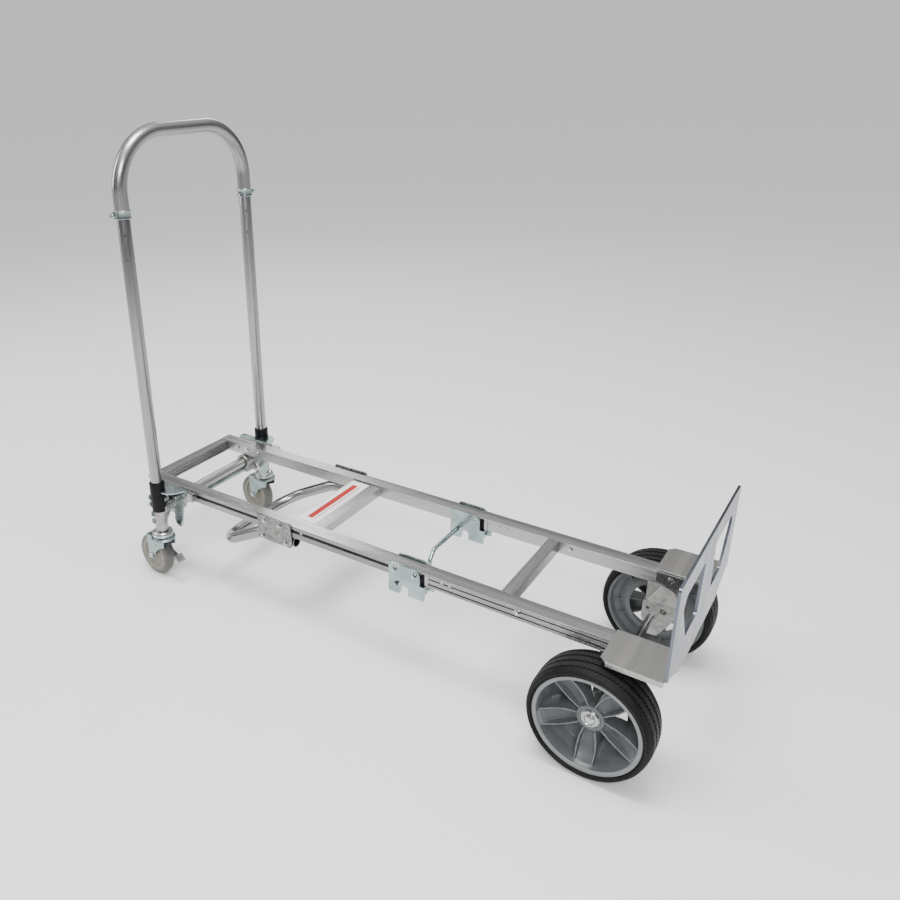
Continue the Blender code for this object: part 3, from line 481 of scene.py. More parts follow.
def skin(shape, rows):
    """Joins rows of corners, all of one length, into a closed shape with a face at each end."""
    rows = [[shape.verts.new(place) for place in row] for row in rows]
    size = len(rows[0])
    for one, two in zip(rows, rows[1:]):
        for k in range(size):
            n = (k + 1) % size
            shape.faces.new([one[k], one[n], two[n], two[k]])
    shape.faces.new(rows[0])
    shape.faces.new(rows[-1])


def merge_shapes(shapes):
    """Several bmeshes as one, left as separate shells."""
    whole = bmesh.new()
    for shape in shapes:
        carrier = bpy.data.meshes.new("carrier")
        shape.to_mesh(carrier)
        shape.free()
        whole.from_mesh(carrier)
        bpy.data.meshes.remove(carrier)
    return whole


# %% [markdown]
# ## Flat and pressed pieces
#
# Plates, brackets and extrusions already have their true outline in the frame. What they lack is the
# edge: no real plate ends in a knife edge, and it is the bright line along a rounded edge that makes
# metal look like metal. Each one is copied, its loose triangles are merged back into flat faces, and a
# narrow bevel is run round its corners. The cast elbows have no sharp corner at all, so their copies
# are rebuilt on a fine grid of voxels and relaxed, which melts every joint into a fillet.

# %% Copy, merge and bevel


def copied(node, material, smooth_angle=None):
    """A copy of a CAD node, with its loose triangles merged back into flat faces."""
    shape = bmesh.new()
    shape.from_mesh(frame["nodes"][node].data)
    bmesh.ops.remove_doubles(shape, verts=shape.verts, dist=1e-5)
    flat = math.radians(0.8)
    bmesh.ops.dissolve_limit(shape, angle_limit=flat, verts=shape.verts, edges=shape.edges)
    return mesh_object(f"{node}_finished", shape, material, smooth_angle)


def bevelled(node, material, width=0.0007, segments=2):
    piece = copied(node, material, 40.0)
    add_bevel(piece, width, segments, 32.0).harden_normals = True
    bake_modifiers(piece)
    return stand_for(piece, node)


def melted(node, material, voxel, rounds):
    """A cast copy: rebuilt on a grid of voxels and relaxed."""
    piece = copied(node, material)
    grid = piece.modifiers.new("grid", "REMESH")
    grid.mode, grid.voxel_size, grid.use_smooth_shade = "VOXEL", voxel, True
    relax = piece.modifiers.new("relax", "SMOOTH")
    relax.factor, relax.iterations = 0.5, rounds
    bake_modifiers(piece)
    paint(piece, material)
    piece.data.shade_smooth()
    return stand_for(piece, node)


made_flat = [bevelled("nose_plate", plate_finish, 0.0012, 3)]
for name in ("end_cross_member", "wide_cross_member", "front_cross_member"):
    made_flat.append(bevelled(name, member_finish, 0.0005))
PAIRS = {
    "hook_spacer": (rail_finish,),
    "nose_bracket": (ear_finish,),
    "latch_saddle": (zinc_finish,),
    "grab_plate": (grab_plate_finish,),
    "cheek_plate": (dark_finish,),
    "axle_bracket": (cast_finish, 0.0012, 3),
    "caster_fork": (zinc_finish, 0.0007, 3),
    "handle_hook": (zinc_finish, 0.0008, 3),
}
for name, settings in PAIRS.items():
    made_flat += [bevelled(f"{name}_{side}", *settings) for side in SIDES]
elbows = [melted(f"leg_elbow_{side}", cast_finish, 0.0014, 6) for side in SIDES]
print("bevelled pieces:", len(made_flat), "faces in one elbow:", len(elbows[0].data.polygons))


# %% [markdown]
# ## The rails
#
# Each side rail is two aluminium extrusions end to end. An extrusion is one outline pulled through a
# die, so all of its detail is in that outline: a deep T-slot in the outer face for the bolt heads, fine
# ribs above and below it, and a lip under the top of the inner face. The rail is therefore made again
# from a richer outline than the frame's, and the rest is one straight extrusion.

# %% Rail outlines


def rail_outline(node, s, deep_slot):
    """The section of one rail, read from its node's box, with the outer face's grooves added."""
    low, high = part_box(node)
    inner, outer = sorted((abs(low[1]), abs(high[1])))
    bottom, top = low[2], high[2]
    rib_half, rib_depth, slot_depth, lip_depth, flange = 0.0006, 0.0009, 0.0042, 0.0014, 0.0012

    def ribs(start, end, count):
        """Small V grooves down the outer face between two heights."""
        points = []
        for k in range(count):
            z = start - (start - end) * (k + 0.5) / count
            points += [(outer, z + rib_half), (outer - rib_depth, z), (outer, z - rib_half)]
        return points

    def groove(depth, mouth_top, floor_top, floor_bottom, mouth_bottom):
        floor = outer - depth
        return [(outer, mouth_top), (floor, floor_top), (floor, floor_bottom), (outer, mouth_bottom)]

    points = [(inner, top), (outer, top)]
    if deep_slot:
        lip, floor = outer - lip_depth, outer - slot_depth
        points += ribs(top - 0.0012, top - 0.0080, 2)
        points += [(outer, top - 0.0085), (lip, top - 0.0092), (lip, top - 0.0104)]
        points += [(floor, top - 0.0110), (floor, bottom + 0.0135)]
        points += [(lip, bottom + 0.0130), (lip, bottom + 0.0122), (outer, bottom + 0.0115)]
        points += ribs(bottom + 0.0105, bottom + 0.0010, 3)
    else:
        points += ribs(top - 0.0015, top - 0.0085, 2)
        points += groove(slot_depth * 0.45, *(top - z for z in (0.0090, 0.0096, 0.0125, 0.0131)))
        points += ribs(top - 0.0140, bottom + 0.0105, 2)
        points += groove(slot_depth * 0.6, *(bottom + z for z in (0.0098, 0.0092, 0.0066, 0.0060)))
        points += ribs(bottom + 0.0055, bottom + 0.0008, 1)
    points += [(outer, bottom), (inner + flange, bottom)]
    points += [(inner + flange, top - 0.0075), (inner, top - 0.0062)]
    return [(s * y, z) for y, z in points]


RAIL_WALL, SLOT_FLOOR_RANGE = 0.003, (0.0016, 0.0045)
for side, s in SIDES.items():
    for node, deep_slot in ((f"upper_rail_{side}", True), (f"lower_rail_{side}", False)):
        low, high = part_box(node)
        outer, centre_y = max(abs(low[1]), abs(high[1])), abs(middle_of(node)[1])
        shape = cut_out(rail_outline(node, s, deep_slot), "x", low[0], high[0])
        piece = mesh_object(f"{node}_finished", shape, rail_finish, 25.0)
        core_low = (low[0] - 0.01, s * (centre_y - 0.0125), low[2] + RAIL_WALL)
        core_high = (high[0] + 0.01, s * (centre_y + 0.0100), high[2] - RAIL_WALL)
        core = block(core_low, core_high)
        combine(piece, mesh_object("rail_core", core, rail_finish), "DIFFERENCE", (0.0004, 2, 50))
        # Faces deep in the T-slot that face outwards get the near-black material: painted shade for the
        # dark inside of the slot.
        paint(piece, rail_finish, recess_shade_finish)
        for face in piece.data.polygons:
            in_slot = SLOT_FLOOR_RANGE[0] < outer - abs(face.center.y) < SLOT_FLOOR_RANGE[1]
            face.material_index = 1 if in_slot and abs(face.normal.y) > 0.5 else 0
        stand_for(piece, node)
print("faces in one rail:", len(piece.data.polygons))


# %% [markdown]
# The two extrusions of a rail meet behind each saddle. Above the notch and beyond it, the lower extrusion
# carries on, so the joint is a metal cap over a short notch. A small recessed black block fills the notch:
# painted shade for the dark inside of the hollow rail.

# %% Rail joints
PLATE_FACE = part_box("grab_plate_far")[1][1]
for side, s in SIDES.items():
    rail_low, rail_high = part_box(f"lower_rail_{side}")
    inner, outer = sorted((abs(rail_low[1]), abs(rail_high[1])))
    top, bottom = rail_high[2], rail_low[2]
    gap, cap_height, reach = 0.0001, 0.003, 0.0012
    start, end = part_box(f"upper_rail_{side}")[1][0] + gap, rail_low[0] - gap
    seam, cap_bottom = start + 0.0100, top - cap_height
    upper = block((start, s * inner, cap_bottom), (end, s * outer, top))
    lower = block((seam, s * inner, bottom), (end, s * outer, cap_bottom))
    # The black block in the notch is painted shade for the dark inside of the hollow rail.
    notch_shade_high = (seam - gap, s * (outer - reach), cap_bottom - 0.0002)
    notch_shade = block((start, s * (inner + reach), bottom + reach), notch_shade_high)
    joint = mesh_object(f"rail_joint_{side}", merge_shapes([upper, lower]), rail_finish)
    for piece in (joint, mesh_object(f"rail_plug_{side}", notch_shade, black_finish)):
        stand_for(piece, f"rail_splice_{side}")


# %% [markdown]
# Below the rail, the outer leg of each saddle is folded round, which gives the pressed plate its
# stiffness. The fold is a short wall behind the plate's edge, with a rounded corner.

# %% Saddle returns
for side, s in SIDES.items():
    low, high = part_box(f"latch_saddle_{side}")
    rail_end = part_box(f"upper_rail_{side}")[1][0]
    face = s * (PLATE_FACE - 0.0002)
    back, corner, root, gap = rail_end - 0.0030, 0.0012, s * 0.1300, 0.0004
    wall = [(back, face), (rail_end - corner, face), (rail_end, face - s * corner)]
    wall += [(rail_end, root), (back, root)]
    wall = cut_out(wall, "z", low[2] + gap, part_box(f"upper_rail_{side}")[0][2] - gap)
    fold = mesh_object(f"saddle_return_{side}", wall, zinc_finish)
    hand_over(fold, "frame", "zinc_plated_steel")


# %% [markdown]
# ## Tubes
#
# The handle's legs and loop, the cross tube, the grab handle and the release rod are all drawn tube or
# bar. A drawn surface shows long soft streaks, and where the tube is bent, the streaks follow the bend.
# So each one is swept along its route with a UV map laid along the sweep, which the material reads.

# %% The handle
handle_low, handle_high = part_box("handle_loop")
LEG_X = (handle_low[0] + handle_high[0]) / 2
LOOP_RADIUS = (handle_high[0] - handle_low[0]) / 2
LEG_Y = handle_high[1] - LOOP_RADIUS
LOOP_BEND = 0.135
loop_top = handle_high[2] - LOOP_RADIUS
loop_route = rounded_route([(LEG_X, -LEG_Y, handle_low[2], 0), (LEG_X, -LEG_Y, loop_top, LOOP_BEND),
    (LEG_X, LEG_Y, loop_top, LOOP_BEND), (LEG_X, LEG_Y, handle_low[2], 0)], 28)
refit("handle_loop", drawn_tube(loop_route, LOOP_RADIUS, 0.0014, 48), tube_finish, 50)
print("handle loop: leg spacing", round(2 * LEG_Y, 3), "tube", round(2 * LOOP_RADIUS, 4))

for side, s in SIDES.items():
    centre = (LEG_X, s * LEG_Y, 0)
    low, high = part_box(f"handle_leg_{side}")
    radius = (high[0] - low[0]) / 2
    wall = [(low[2], radius), (high[2], radius), (high[2], radius - 0.002), (low[2], radius - 0.002)]
    shape = turned(softened(wall, 0.0005, 2, True), "z", centre, 56, True)
    refit(f"handle_leg_{side}", shape, leg_finish)

    low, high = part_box(f"loop_clamp_{side}")
    radius = LEG_X - low[0]
    clamp = [(low[2], LOOP_RADIUS + 0.0002), (low[2], radius - 0.0008), (low[2] + 0.0014, radius),
        (low[2] + 0.0060, radius - 0.0012), (high[2] - 0.0060, radius - 0.0012),
        (high[2] - 0.0014, radius), (high[2], radius - 0.0008), (high[2], LOOP_RADIUS + 0.0002)]
    ring = turned(softened(clamp, 0.0006, 2, True), "z", centre, 56, True)
    ear_start, ear_end = s * (LEG_Y + radius - 0.001), s * (LEG_Y + radius + 0.0052)
    ears = []
    for x in (LEG_X - 0.0050, LEG_X + 0.0022):
        ears.append(block((x, ear_start, low[2] + 0.0022), (x + 0.0028, ear_end, high[2] - 0.0022)))
    refit(f"loop_clamp_{side}", merge_shapes([ring, *ears]), zinc_finish)

    low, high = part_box(f"clamp_knob_{side}")
    middle_z, reach = (low[2] + high[2]) / 2, sorted((abs(low[1]), abs(high[1])))
    knob = [(s * reach[0], 0.0), (s * reach[0], 0.0048), (s * (reach[0] + 0.0012), 0.0072),
        (s * (reach[1] - 0.0018), 0.0068), (s * reach[1], 0.0048), (s * reach[1], 0.0)]
    shape = turned(softened(knob, 0.0008), "y", (LEG_X, 0, middle_z), 32)
    refit(f"clamp_knob_{side}", shape, chrome_finish)

# %% [markdown]
# The black sleeve on each leg is a moulded collar: it grips the leg above and the casting below, and it
# is notched where the side socket leaves the casting. Turning gives the collar, and one Boolean cut
# with a round-topped tool gives the notch.

# %% Sleeves
PIVOT_Z = next(j for j in frame["joints"] if j["name"] == "handle_fold")["pos_m"][2]
for side, s in SIDES.items():
    low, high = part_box(f"leg_sleeve_{side}")
    radius = (high[0] - low[0]) / 2
    inner = radius - 0.0030
    wall = [(low[2], inner), (low[2], radius - 0.0006), (low[2] + 0.0012, radius),
        (high[2] - 0.0022, radius), (high[2], radius - 0.0016), (high[2], inner)]
    shape = turned(softened(wall, 0.0007, 3, True), "z", (LEG_X, s * LEG_Y, 0), 64, True)
    sleeve = mesh_object(f"leg_sleeve_{side}_finished", shape, black_finish)
    notch_end = s * (LEG_Y - 0.001)
    notch = [(s * 0.150, 0.0), (s * 0.150, 0.0208), (notch_end, 0.0208), (notch_end, 0.0)]
    notch = turned(notch, "y", (LEG_X, 0, PIVOT_Z), 48)
    combine(sleeve, mesh_object("sleeve_notch_tool", notch, black_finish), "DIFFERENCE")
    stand_for(sleeve, f"leg_sleeve_{side}")
print("sleeve radius:", round(radius, 4))

# %% Cross tube, latch bar, axle and swivel races
for node, material, wall in (("handle_cross_tube", member_finish, 0.002),
    ("latch_bar", zinc_finish, None), ("axle", chrome_finish, None)):
    low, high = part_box(node)
    centre = middle_of(node)
    radius = (high[0] - low[0]) / 2
    if wall:
        profile = [(low[1], radius), (high[1], radius), (high[1], radius - wall), (low[1], radius - wall)]
    else:
        profile = mirrored([(low[1], 0.0), (low[1], radius - 0.001), (low[1] + 0.001, radius)])
    refit(node, turned(profile, "y", centre, 48 if wall else 40, bool(wall)), material)

for side, s in SIDES.items():
    node = f"caster_race_{side}"
    low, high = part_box(node)
    radius = (high[0] - low[0]) / 2
    rise = high[2] - low[2]
    profile = [(low[2], 0.0), (low[2], radius * 0.84), (low[2] + rise * 0.16, radius * 0.86),
        (low[2] + rise * 0.22, radius), (low[2] + rise * 0.48, radius),
        (low[2] + rise * 0.54, radius * 0.90), (low[2] + rise * 0.62, radius * 0.90),
        (low[2] + rise * 0.68, radius * 0.97), (low[2] + rise * 0.84, radius * 0.93),
        (high[2], radius * 0.76), (high[2], 0.0)]
    centre = (LEG_X, s * LEG_Y, 0)
    refit(node, turned(softened(profile, 0.0006, 2), "z", centre, 64), chrome_finish)

# %% Grab handle and release rod
low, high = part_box("grab_handle")
GRAB_RADIUS = 0.0150
grab_y = high[1] - GRAB_RADIUS
grab_top = high[2] - GRAB_RADIUS
KNEE_X, GRAB_LOW_X, GRAB_LOW_Z = -0.3050, -0.4695, 0.1300
grab_route = rounded_route([(high[0], -grab_y, grab_top, 0), (KNEE_X, -grab_y, grab_top, 0.080),
    (GRAB_LOW_X, -grab_y, GRAB_LOW_Z, 0.075), (GRAB_LOW_X, grab_y, GRAB_LOW_Z, 0.075),
    (KNEE_X, grab_y, grab_top, 0.080), (high[0], grab_y, grab_top, 0)], 20)
refit("grab_handle", drawn_tube(grab_route, GRAB_RADIUS, 0.0022, 40), tube_finish, 50)

low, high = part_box("release_rod")
ROD_X, ROD_RADIUS = (low[0] + high[0]) / 2, (high[0] - low[0]) / 2
rod_z = high[2] - ROD_RADIUS
rod_route = rounded_route([(ROD_X, high[1], rod_z, 0), (ROD_X, 0.0040, rod_z, 0.014),
    (ROD_X, -0.0140, rod_z - 0.022, 0.016), (ROD_X, -0.0165, 0.1560, 0.010),
    (ROD_X, -0.1080, rod_z, 0.016), (ROD_X, low[1], rod_z, 0)], 10)
refit("release_rod", drawn_tube(rod_route, ROD_RADIUS, None, 28), zinc_finish, 50)
print("grab handle spread:", round(2 * grab_y, 3), "release rod radius:", round(ROD_RADIUS, 4))


# %% [markdown]
# ## Repeating round an axle
#
# Spokes and tread blocks are each one shape repeated evenly round an axle. A Geometry Nodes tree
# does it with a count and a centre as its inputs: a line of points, each turned a little further
# than the last, with the shape set on every point. The copies are then made real and given a material,
# because an exporter drops instances.

# %% The repeat tree


def geometry_tree(name, inputs):
    """A Geometry Nodes tree with these inputs as {name: type}, and its input node."""
    tree = bpy.data.node_groups.new(name, "GeometryNodeTree")
    for label, kind in {"Geometry": "Geometry", **inputs, "Finish": "Material"}.items():
        tree.interface.new_socket(label, in_out="INPUT", socket_type=f"NodeSocket{kind}")
    tree.interface.new_socket("Geometry", in_out="OUTPUT", socket_type="NodeSocketGeometry")
    return tree, tree.nodes.new("NodeGroupInput").outputs


def place_copies(tree, given, points, shape, rotation, scale=(1.0, 1.0, 1.0)):
    """The end of a tree: a copy of the shape on every point, made real and given its material."""
    source = add(tree, "GeometryNodeObjectInfo", {"Object": shape}).outputs["Geometry"]
    inputs = {"Points": points, "Instance": source, "Rotation": rotation, "Scale": scale}
    placed = add(tree, "GeometryNodeInstanceOnPoints", inputs).outputs["Instances"]
    real = add(tree, "GeometryNodeRealizeInstances", {"Geometry": placed}).outputs["Geometry"]
    inputs = {"Geometry": real, "Material": given["Finish"]}
    coated = add(tree, "GeometryNodeSetMaterial", inputs).outputs["Geometry"]
    add(tree, "NodeGroupOutput", {"Geometry": coated})


REPEAT, given = geometry_tree("repeat_round_axle", {"Shape": "Object", "Count": "Int", "Centre": "Vector"})
inputs = {"Count": given["Count"], "Start Location": given["Centre"], "Offset": ORIGIN}
points = add(REPEAT, "GeometryNodeMeshLine", inputs).outputs["Mesh"]
index = add(REPEAT, "GeometryNodeInputIndex").outputs[0]
step = add_math(REPEAT, "DIVIDE", 2 * math.pi, given["Count"])
turn = add(REPEAT, "ShaderNodeCombineXYZ", {"Y": add_math(REPEAT, "MULTIPLY", index, step)})
place_copies(REPEAT, given, points, given["Shape"], turn.outputs["Vector"])


def run_tree(name, tree, settings, carrier=None, smooth_angle=35.0):
    """Runs a Geometry Nodes tree with its named inputs set, and returns its result as a plain mesh."""
    carrier = carrier or bpy.data.meshes.new(name)
    runner = bpy.data.objects.new(name, carrier)
    bpy.context.scene.collection.objects.link(runner)
    modifier = runner.modifiers.new("make", "NODES")
    modifier.node_group = tree
    for socket in tree.interface.items_tree:
        if socket.in_out == "INPUT" and socket.name in settings:
            modifier[socket.identifier] = settings[socket.name]
    bpy.context.view_layer.update()
    bake_modifiers(runner)
    runner.data.shade_smooth()
    runner.data.set_sharp_from_angle(angle=math.radians(smooth_angle))
    return runner


def repeated(name, shape, count, centre, material):
    """A shape, modelled at the top of a wheel about the origin, repeated round an axle."""
    template = mesh_object(f"{name}_template", shape, material)
    settings = {"Shape": template, "Count": count, "Centre": centre, "Finish": material}
    made = run_tree(name, REPEAT, settings)
    bpy.data.objects.remove(template)
    return made


# %% [markdown]
# ## The main wheels
#
# Each is a moulded nylon wheel: a deep barrel, a round boss, and five wide spokes, each a shallow
# channel between two raised ribs that swell away from the boss. The tyre has a smooth sidewall, a row
# of fine ribs round each shoulder, and a tread of three zig-zag bands.

# %% Wheel sizes
WHEEL = {side: middle_of(f"tyre_{side}") for side in SIDES}
low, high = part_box("tyre_far")
TYRE_RADIUS, HALF_WIDTH = (high[0] - low[0]) / 2, (high[1] - low[1]) / 2
low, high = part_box("wheel_rim_far")
RIM_RADIUS = (high[0] - low[0]) / 2
RIM_HALF, HUB_RISE = 0.0400, 0.0068
SPOKES = 5
FIRST_SPOKE = math.radians(36)
print("tyre radius", round(TYRE_RADIUS, 4), "rim radius", round(RIM_RADIUS, 4))

# %% One spoke
SPOKE_START, SPOKE_LENGTH = 0.024, 0.0828
SPOKE_STATIONS = [(SPOKE_START, 0.0120), (0.036, 0.0150), (0.050, 0.0186), (0.070, 0.0204),
    (0.090, 0.0198), (0.107, 0.0192)]


def spoke_edge(radius):
    """Half the spoke's width at a distance from the axle: narrow at the boss, then swelling."""
    for (r0, w0), (r1, w1) in zip(SPOKE_STATIONS, SPOKE_STATIONS[1:]):
        if radius <= r1:
            t = max(0.0, (radius - r0) / (r1 - r0))
            return w0 + (w1 - w0) * t * t * (3 - 2 * t)
    return SPOKE_STATIONS[-1][1]


def spoke_front(radius):
    """How far the spoke's ribs stand out from the wheel's middle plane."""
    share = max(0.0, (radius - SPOKE_START) / 0.083)
    return 0.0120 + 0.0185 * share**1.4


def spoke_shape(s):
    """One spoke about the origin, pointing up: a channel floor, two ribs and their deep side walls."""
    rib, round_off, rows, count = 0.0034, 0.0010, [], 16
    for share in (k / count for k in range(count + 1)):
        radius = SPOKE_START + SPOKE_LENGTH * share
        edge, front = spoke_edge(radius), spoke_front(radius)
        inner = edge - rib
        floor = front - 0.003 - 0.0150 * math.sin(math.pi * min(1.0, share * 1.15)) ** 0.6
        back = -0.016 - 0.012 * share
        half = [(inner, floor - 0.0045), (inner, back), (edge, back), (edge, front - round_off)]
        half += [(edge - round_off, front), (inner + round_off, front), (inner, front - round_off)]
        half += [(inner - round_off, floor + 0.0014), (inner - 0.0030, floor)]
        section = half + [(-x, y) for x, y in reversed(half)]
        rows.append([(x, s * y, radius) for x, y in section])
    shape = bmesh.new()
    skin(shape, rows)
    bmesh.ops.transform(shape, matrix=Matrix.Rotation(FIRST_SPOKE, 4, "Y"), verts=shape.verts)
    return shape


# %% The whole rim
for side, s in SIDES.items():
    centre = WHEEL[side]
    middle = centre[1]
    spokes = repeated(f"spokes_{side}", spoke_shape(s), SPOKES, centre, nylon_finish)

    barrel = [(-RIM_HALF, RIM_RADIUS - 0.0010), (-RIM_HALF + 0.004, RIM_RADIUS),
        (RIM_HALF - 0.003, RIM_RADIUS), (RIM_HALF, RIM_RADIUS - 0.0015), (RIM_HALF, RIM_RADIUS - 0.0085),
        (RIM_HALF - 0.0020, RIM_RADIUS - 0.0100), (0.0080, RIM_RADIUS - 0.0140), (-0.0120, 0.0880),
        (-0.0230, 0.0700), (-0.0250, 0.0610), (-0.0290, 0.0610), (-0.0275, 0.0720), (-0.0180, 0.0900),
        (-0.0240, RIM_RADIUS - 0.0100), (-RIM_HALF, RIM_RADIUS - 0.0080)]
    barrel = [(middle + s * along, radius) for along, radius in barrel]
    barrel = turned(softened(barrel, 0.0012, 3, True), "y", centre, 120, True)
    low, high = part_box(f"hub_cap_{side}")
    hub_front = s * (max(abs(low[1]), abs(high[1])) - HUB_RISE)
    boss = [(middle + s * -0.0400, 0.0202), (middle + s * -0.0400, 0.0250),
        (hub_front - s * 0.012, 0.0300), (hub_front - s * 0.001, 0.0285), (hub_front, 0.0270),
        (hub_front, 0.0202)]
    boss = turned(softened(boss, 0.0010, 3, True), "y", centre, 60, True)
    rim = mesh_object(f"wheel_rim_{side}_finished", merge_shapes([barrel, boss]), nylon_finish)
    combine(rim, spokes, "UNION")
    # The rib tops and the rim's outer lip take the lighter nylon, a painted highlight along the edges that
    # catch the light.
    paint(rim, nylon_finish, nylon_highlight_finish)
    for face in rim.data.polygons:
        out = s * (face.center.y - middle)
        radius = math.hypot(face.center.x - centre[0], face.center.z - centre[2])
        on_lip = out > RIM_HALF - 0.0012 and radius > 0.095
        on_rib = 0.031 < radius < 0.104 and out > spoke_front(radius) - 0.0006
        face.material_index = 1 if on_lip or on_rib else 0
    stand_for(rim, f"wheel_rim_{side}")

    cap = [(-0.0005, 0.0), (-0.0005, 0.0184), (0.0020, 0.0184), (0.0032, 0.0172), (0.0032, 0.0150)]
    cap += [(0.0014, 0.0138), (0.0014, 0.0118), (0.0046, 0.0104)]
    cap += [(HUB_RISE, 0.0070), (HUB_RISE - 0.0012, 0.0036), (HUB_RISE - 0.0012, 0.0)]
    cap = [(hub_front + s * out, radius) for out, radius in cap]
    refit(f"hub_cap_{side}", turned(softened(cap, 0.0007, 3), "y", centre, 64), chrome_finish)
print("rim faces:", len(rim.data.polygons))

# %% The tyre carcass and its tread


def crown_radius(offset):
    """The tread's radius at a distance from the tyre's middle plane."""
    share = min(1.0, abs(offset) / HALF_WIDTH)
    return TYRE_RADIUS - 0.0066 * max(0.0, share - 0.25) ** 2.2 / 0.75**2.2


def tread_block(pitch):
    """One pitch of the tread at the top of the tyre: three zig-zag bands and fine shoulder ribs."""
    shape = bmesh.new()

    def loft(rows):
        places = []
        for turn, points in rows:
            places.append([(r * math.sin(turn), along, r * math.cos(turn)) for along, r in points])
        skin(shape, places)

    half, swing, half_band, groove = pitch * 0.51, 0.0021, 0.0062, 0.0026
    for middle in (-0.0185, 0.0, 0.0185):
        rows = []
        for turn, sway in ((-half, -swing), (0.0, swing), (half, -swing)):
            left, right = middle + sway - half_band, middle + sway + half_band
            points = [(left, crown_radius(left) - groove), (left, crown_radius(left))]
            points += [(right, crown_radius(right)), (right, crown_radius(right) - groove)]
            rows.append((turn, points))
        loft(rows)
    shoulder = [(0.0290, 0.0), (0.0365, 0.0), (0.0408, 0.0016), (0.0434, 0.0080)]
    shoulder += [(0.0412, 0.0086), (0.0380, 0.0045), (0.0290, 0.0036)]
    for s in SIDES.values():
        points = [(s * along, crown_radius(along) - down) for along, down in shoulder]
        for share in (-0.25, 0.25):
            loft([(pitch * (share + half_rib), points) for half_rib in (-0.155, 0.155)])
    return shape


TREAD_PITCHES = 96
TREAD_PITCH = 2 * math.pi / TREAD_PITCHES
for side, centre in WHEEL.items():
    half = [(HALF_WIDTH - 0.0055, RIM_RADIUS + 0.0004), (HALF_WIDTH - 0.0006, RIM_RADIUS + 0.0050)]
    half.append((HALF_WIDTH, RIM_RADIUS + 0.0080))
    drops = {0.0415: 0.0076, 0.0385: 0.0044, 0.0330: 0.0030, 0.0280: 0.0026, 0.0140: 0.0026}
    half += [(offset, crown_radius(offset) - drop) for offset, drop in drops.items()]
    crown = [(0.0, crown_radius(0.0) - 0.0026)]
    carcass = half + crown + [(-offset, radius) for offset, radius in reversed(half)]
    carcass = [(centre[1] + offset, radius) for offset, radius in carcass]
    body = turned(softened(carcass, 0.0016, 3, True), "y", centre, 160, True)
    refit(f"tyre_{side}", body, rubber_finish)
    tread = repeated(f"tread_{side}", tread_block(TREAD_PITCH), TREAD_PITCHES, centre, rubber_finish)
    hand_over(tread, f"main_wheel_{side}", "black_rubber")
print("tread faces on one tyre:", len(tread.data.polygons))


# %% [markdown]
# ## The casters
#
# A swivel caster is a pressed fork under a ball race, a moulded core and a soft tread. The core and
# tread are turned: the core has a stepped face with a shallow ring round the hub, and the tread has
# rounded shoulders. Both casters rest a few degrees off straight, so their profiles are turned about
# the wheel's own axis, which the joint in the frame gives.

# %% Caster cores and treads


def turned_about(profile, centre, direction, steps=72, closed=True):
    """Turns a profile about an axis in any direction through centre."""
    shape = turned(profile, "y", ORIGIN, steps, closed)
    swing = Vector((0, 1, 0)).rotation_difference(Vector(direction)).to_matrix().to_4x4()
    bmesh.ops.transform(shape, matrix=Matrix.Translation(centre) @ swing, verts=shape.verts)
    return shape


CASTER_HALF, CASTER_RADIUS = 0.0150, 0.0597
for side in SIDES:
    joint = next(j for j in frame["joints"] if j["name"] == f"caster_wheel_{side}_spin")
    centre, direction = joint["pos_m"], joint["axis"]
    inner = CASTER_RADIUS - 0.0108
    face = [(0.0160, 0.0048), (0.0160, 0.0118), (0.0148, 0.0132), (0.0085, 0.0165), (0.0078, 0.0180),
        (0.0078, 0.0330), (0.0090, 0.0352), (0.0132, 0.0372), (0.0140, 0.0390), (0.0140, inner - 0.0032),
        (0.0150, inner - 0.0020), (0.0150, inner)]
    shape = turned_about(softened(mirrored(face), 0.0006, 2, True), centre, direction)
    refit(f"caster_core_{side}", shape, core_finish)
    edge = [(-CASTER_HALF + 0.0008, inner + 0.0002), (-CASTER_HALF, inner + 0.0030)]
    steps, crown = 10, 0.0090
    for k in range(steps + 1):
        turn = math.radians(160 - 140 * k / steps)
        drop = crown - crown * math.sin(turn) ** 0.8
        edge.append((CASTER_HALF * 1.02 * math.cos(turn), CASTER_RADIUS - drop))
    edge += [(CASTER_HALF, inner + 0.0030), (CASTER_HALF - 0.0008, inner + 0.0002)]
    refit(f"caster_tread_{side}", turned_about(edge, centre, direction, 96), tread_finish, 60)

    spindle = [(-0.0252, 0.0), (-0.0252, 0.0058), (-0.0240, 0.0072), (-0.0208, 0.0085), (-0.0208, 0.0042)]
    shape = turned_about(softened(mirrored(spindle), 0.0006, 2), centre, direction, 40, False)
    refit(f"caster_axle_{side}", shape, chrome_finish)
print("caster wheel radius:", CASTER_RADIUS)


# %% [markdown]
# ## Fasteners
#
# The frame is held by rivets, bolts and nuts. They repeat, so each kind is modelled once and set on a
# cloud of points by a Geometry Nodes tree that turns it to face along the direction stored with each
# point. One cloud is made for each kind of fastener on each body.

# %% The fastener tree
FASTEN, given = geometry_tree("set_fasteners", {"Fastener": "Object", "Size": "Float"})
facing = add(FASTEN, "GeometryNodeInputNamedAttribute", {"Name": "facing"}, data_type="FLOAT_VECTOR")
align = {"Vector": facing.outputs["Attribute"]}
turn = add(FASTEN, "FunctionNodeAlignRotationToVector", align, axis="Z").outputs["Rotation"]
place_copies(FASTEN, given, given["Geometry"], given["Fastener"], turn, given["Size"])


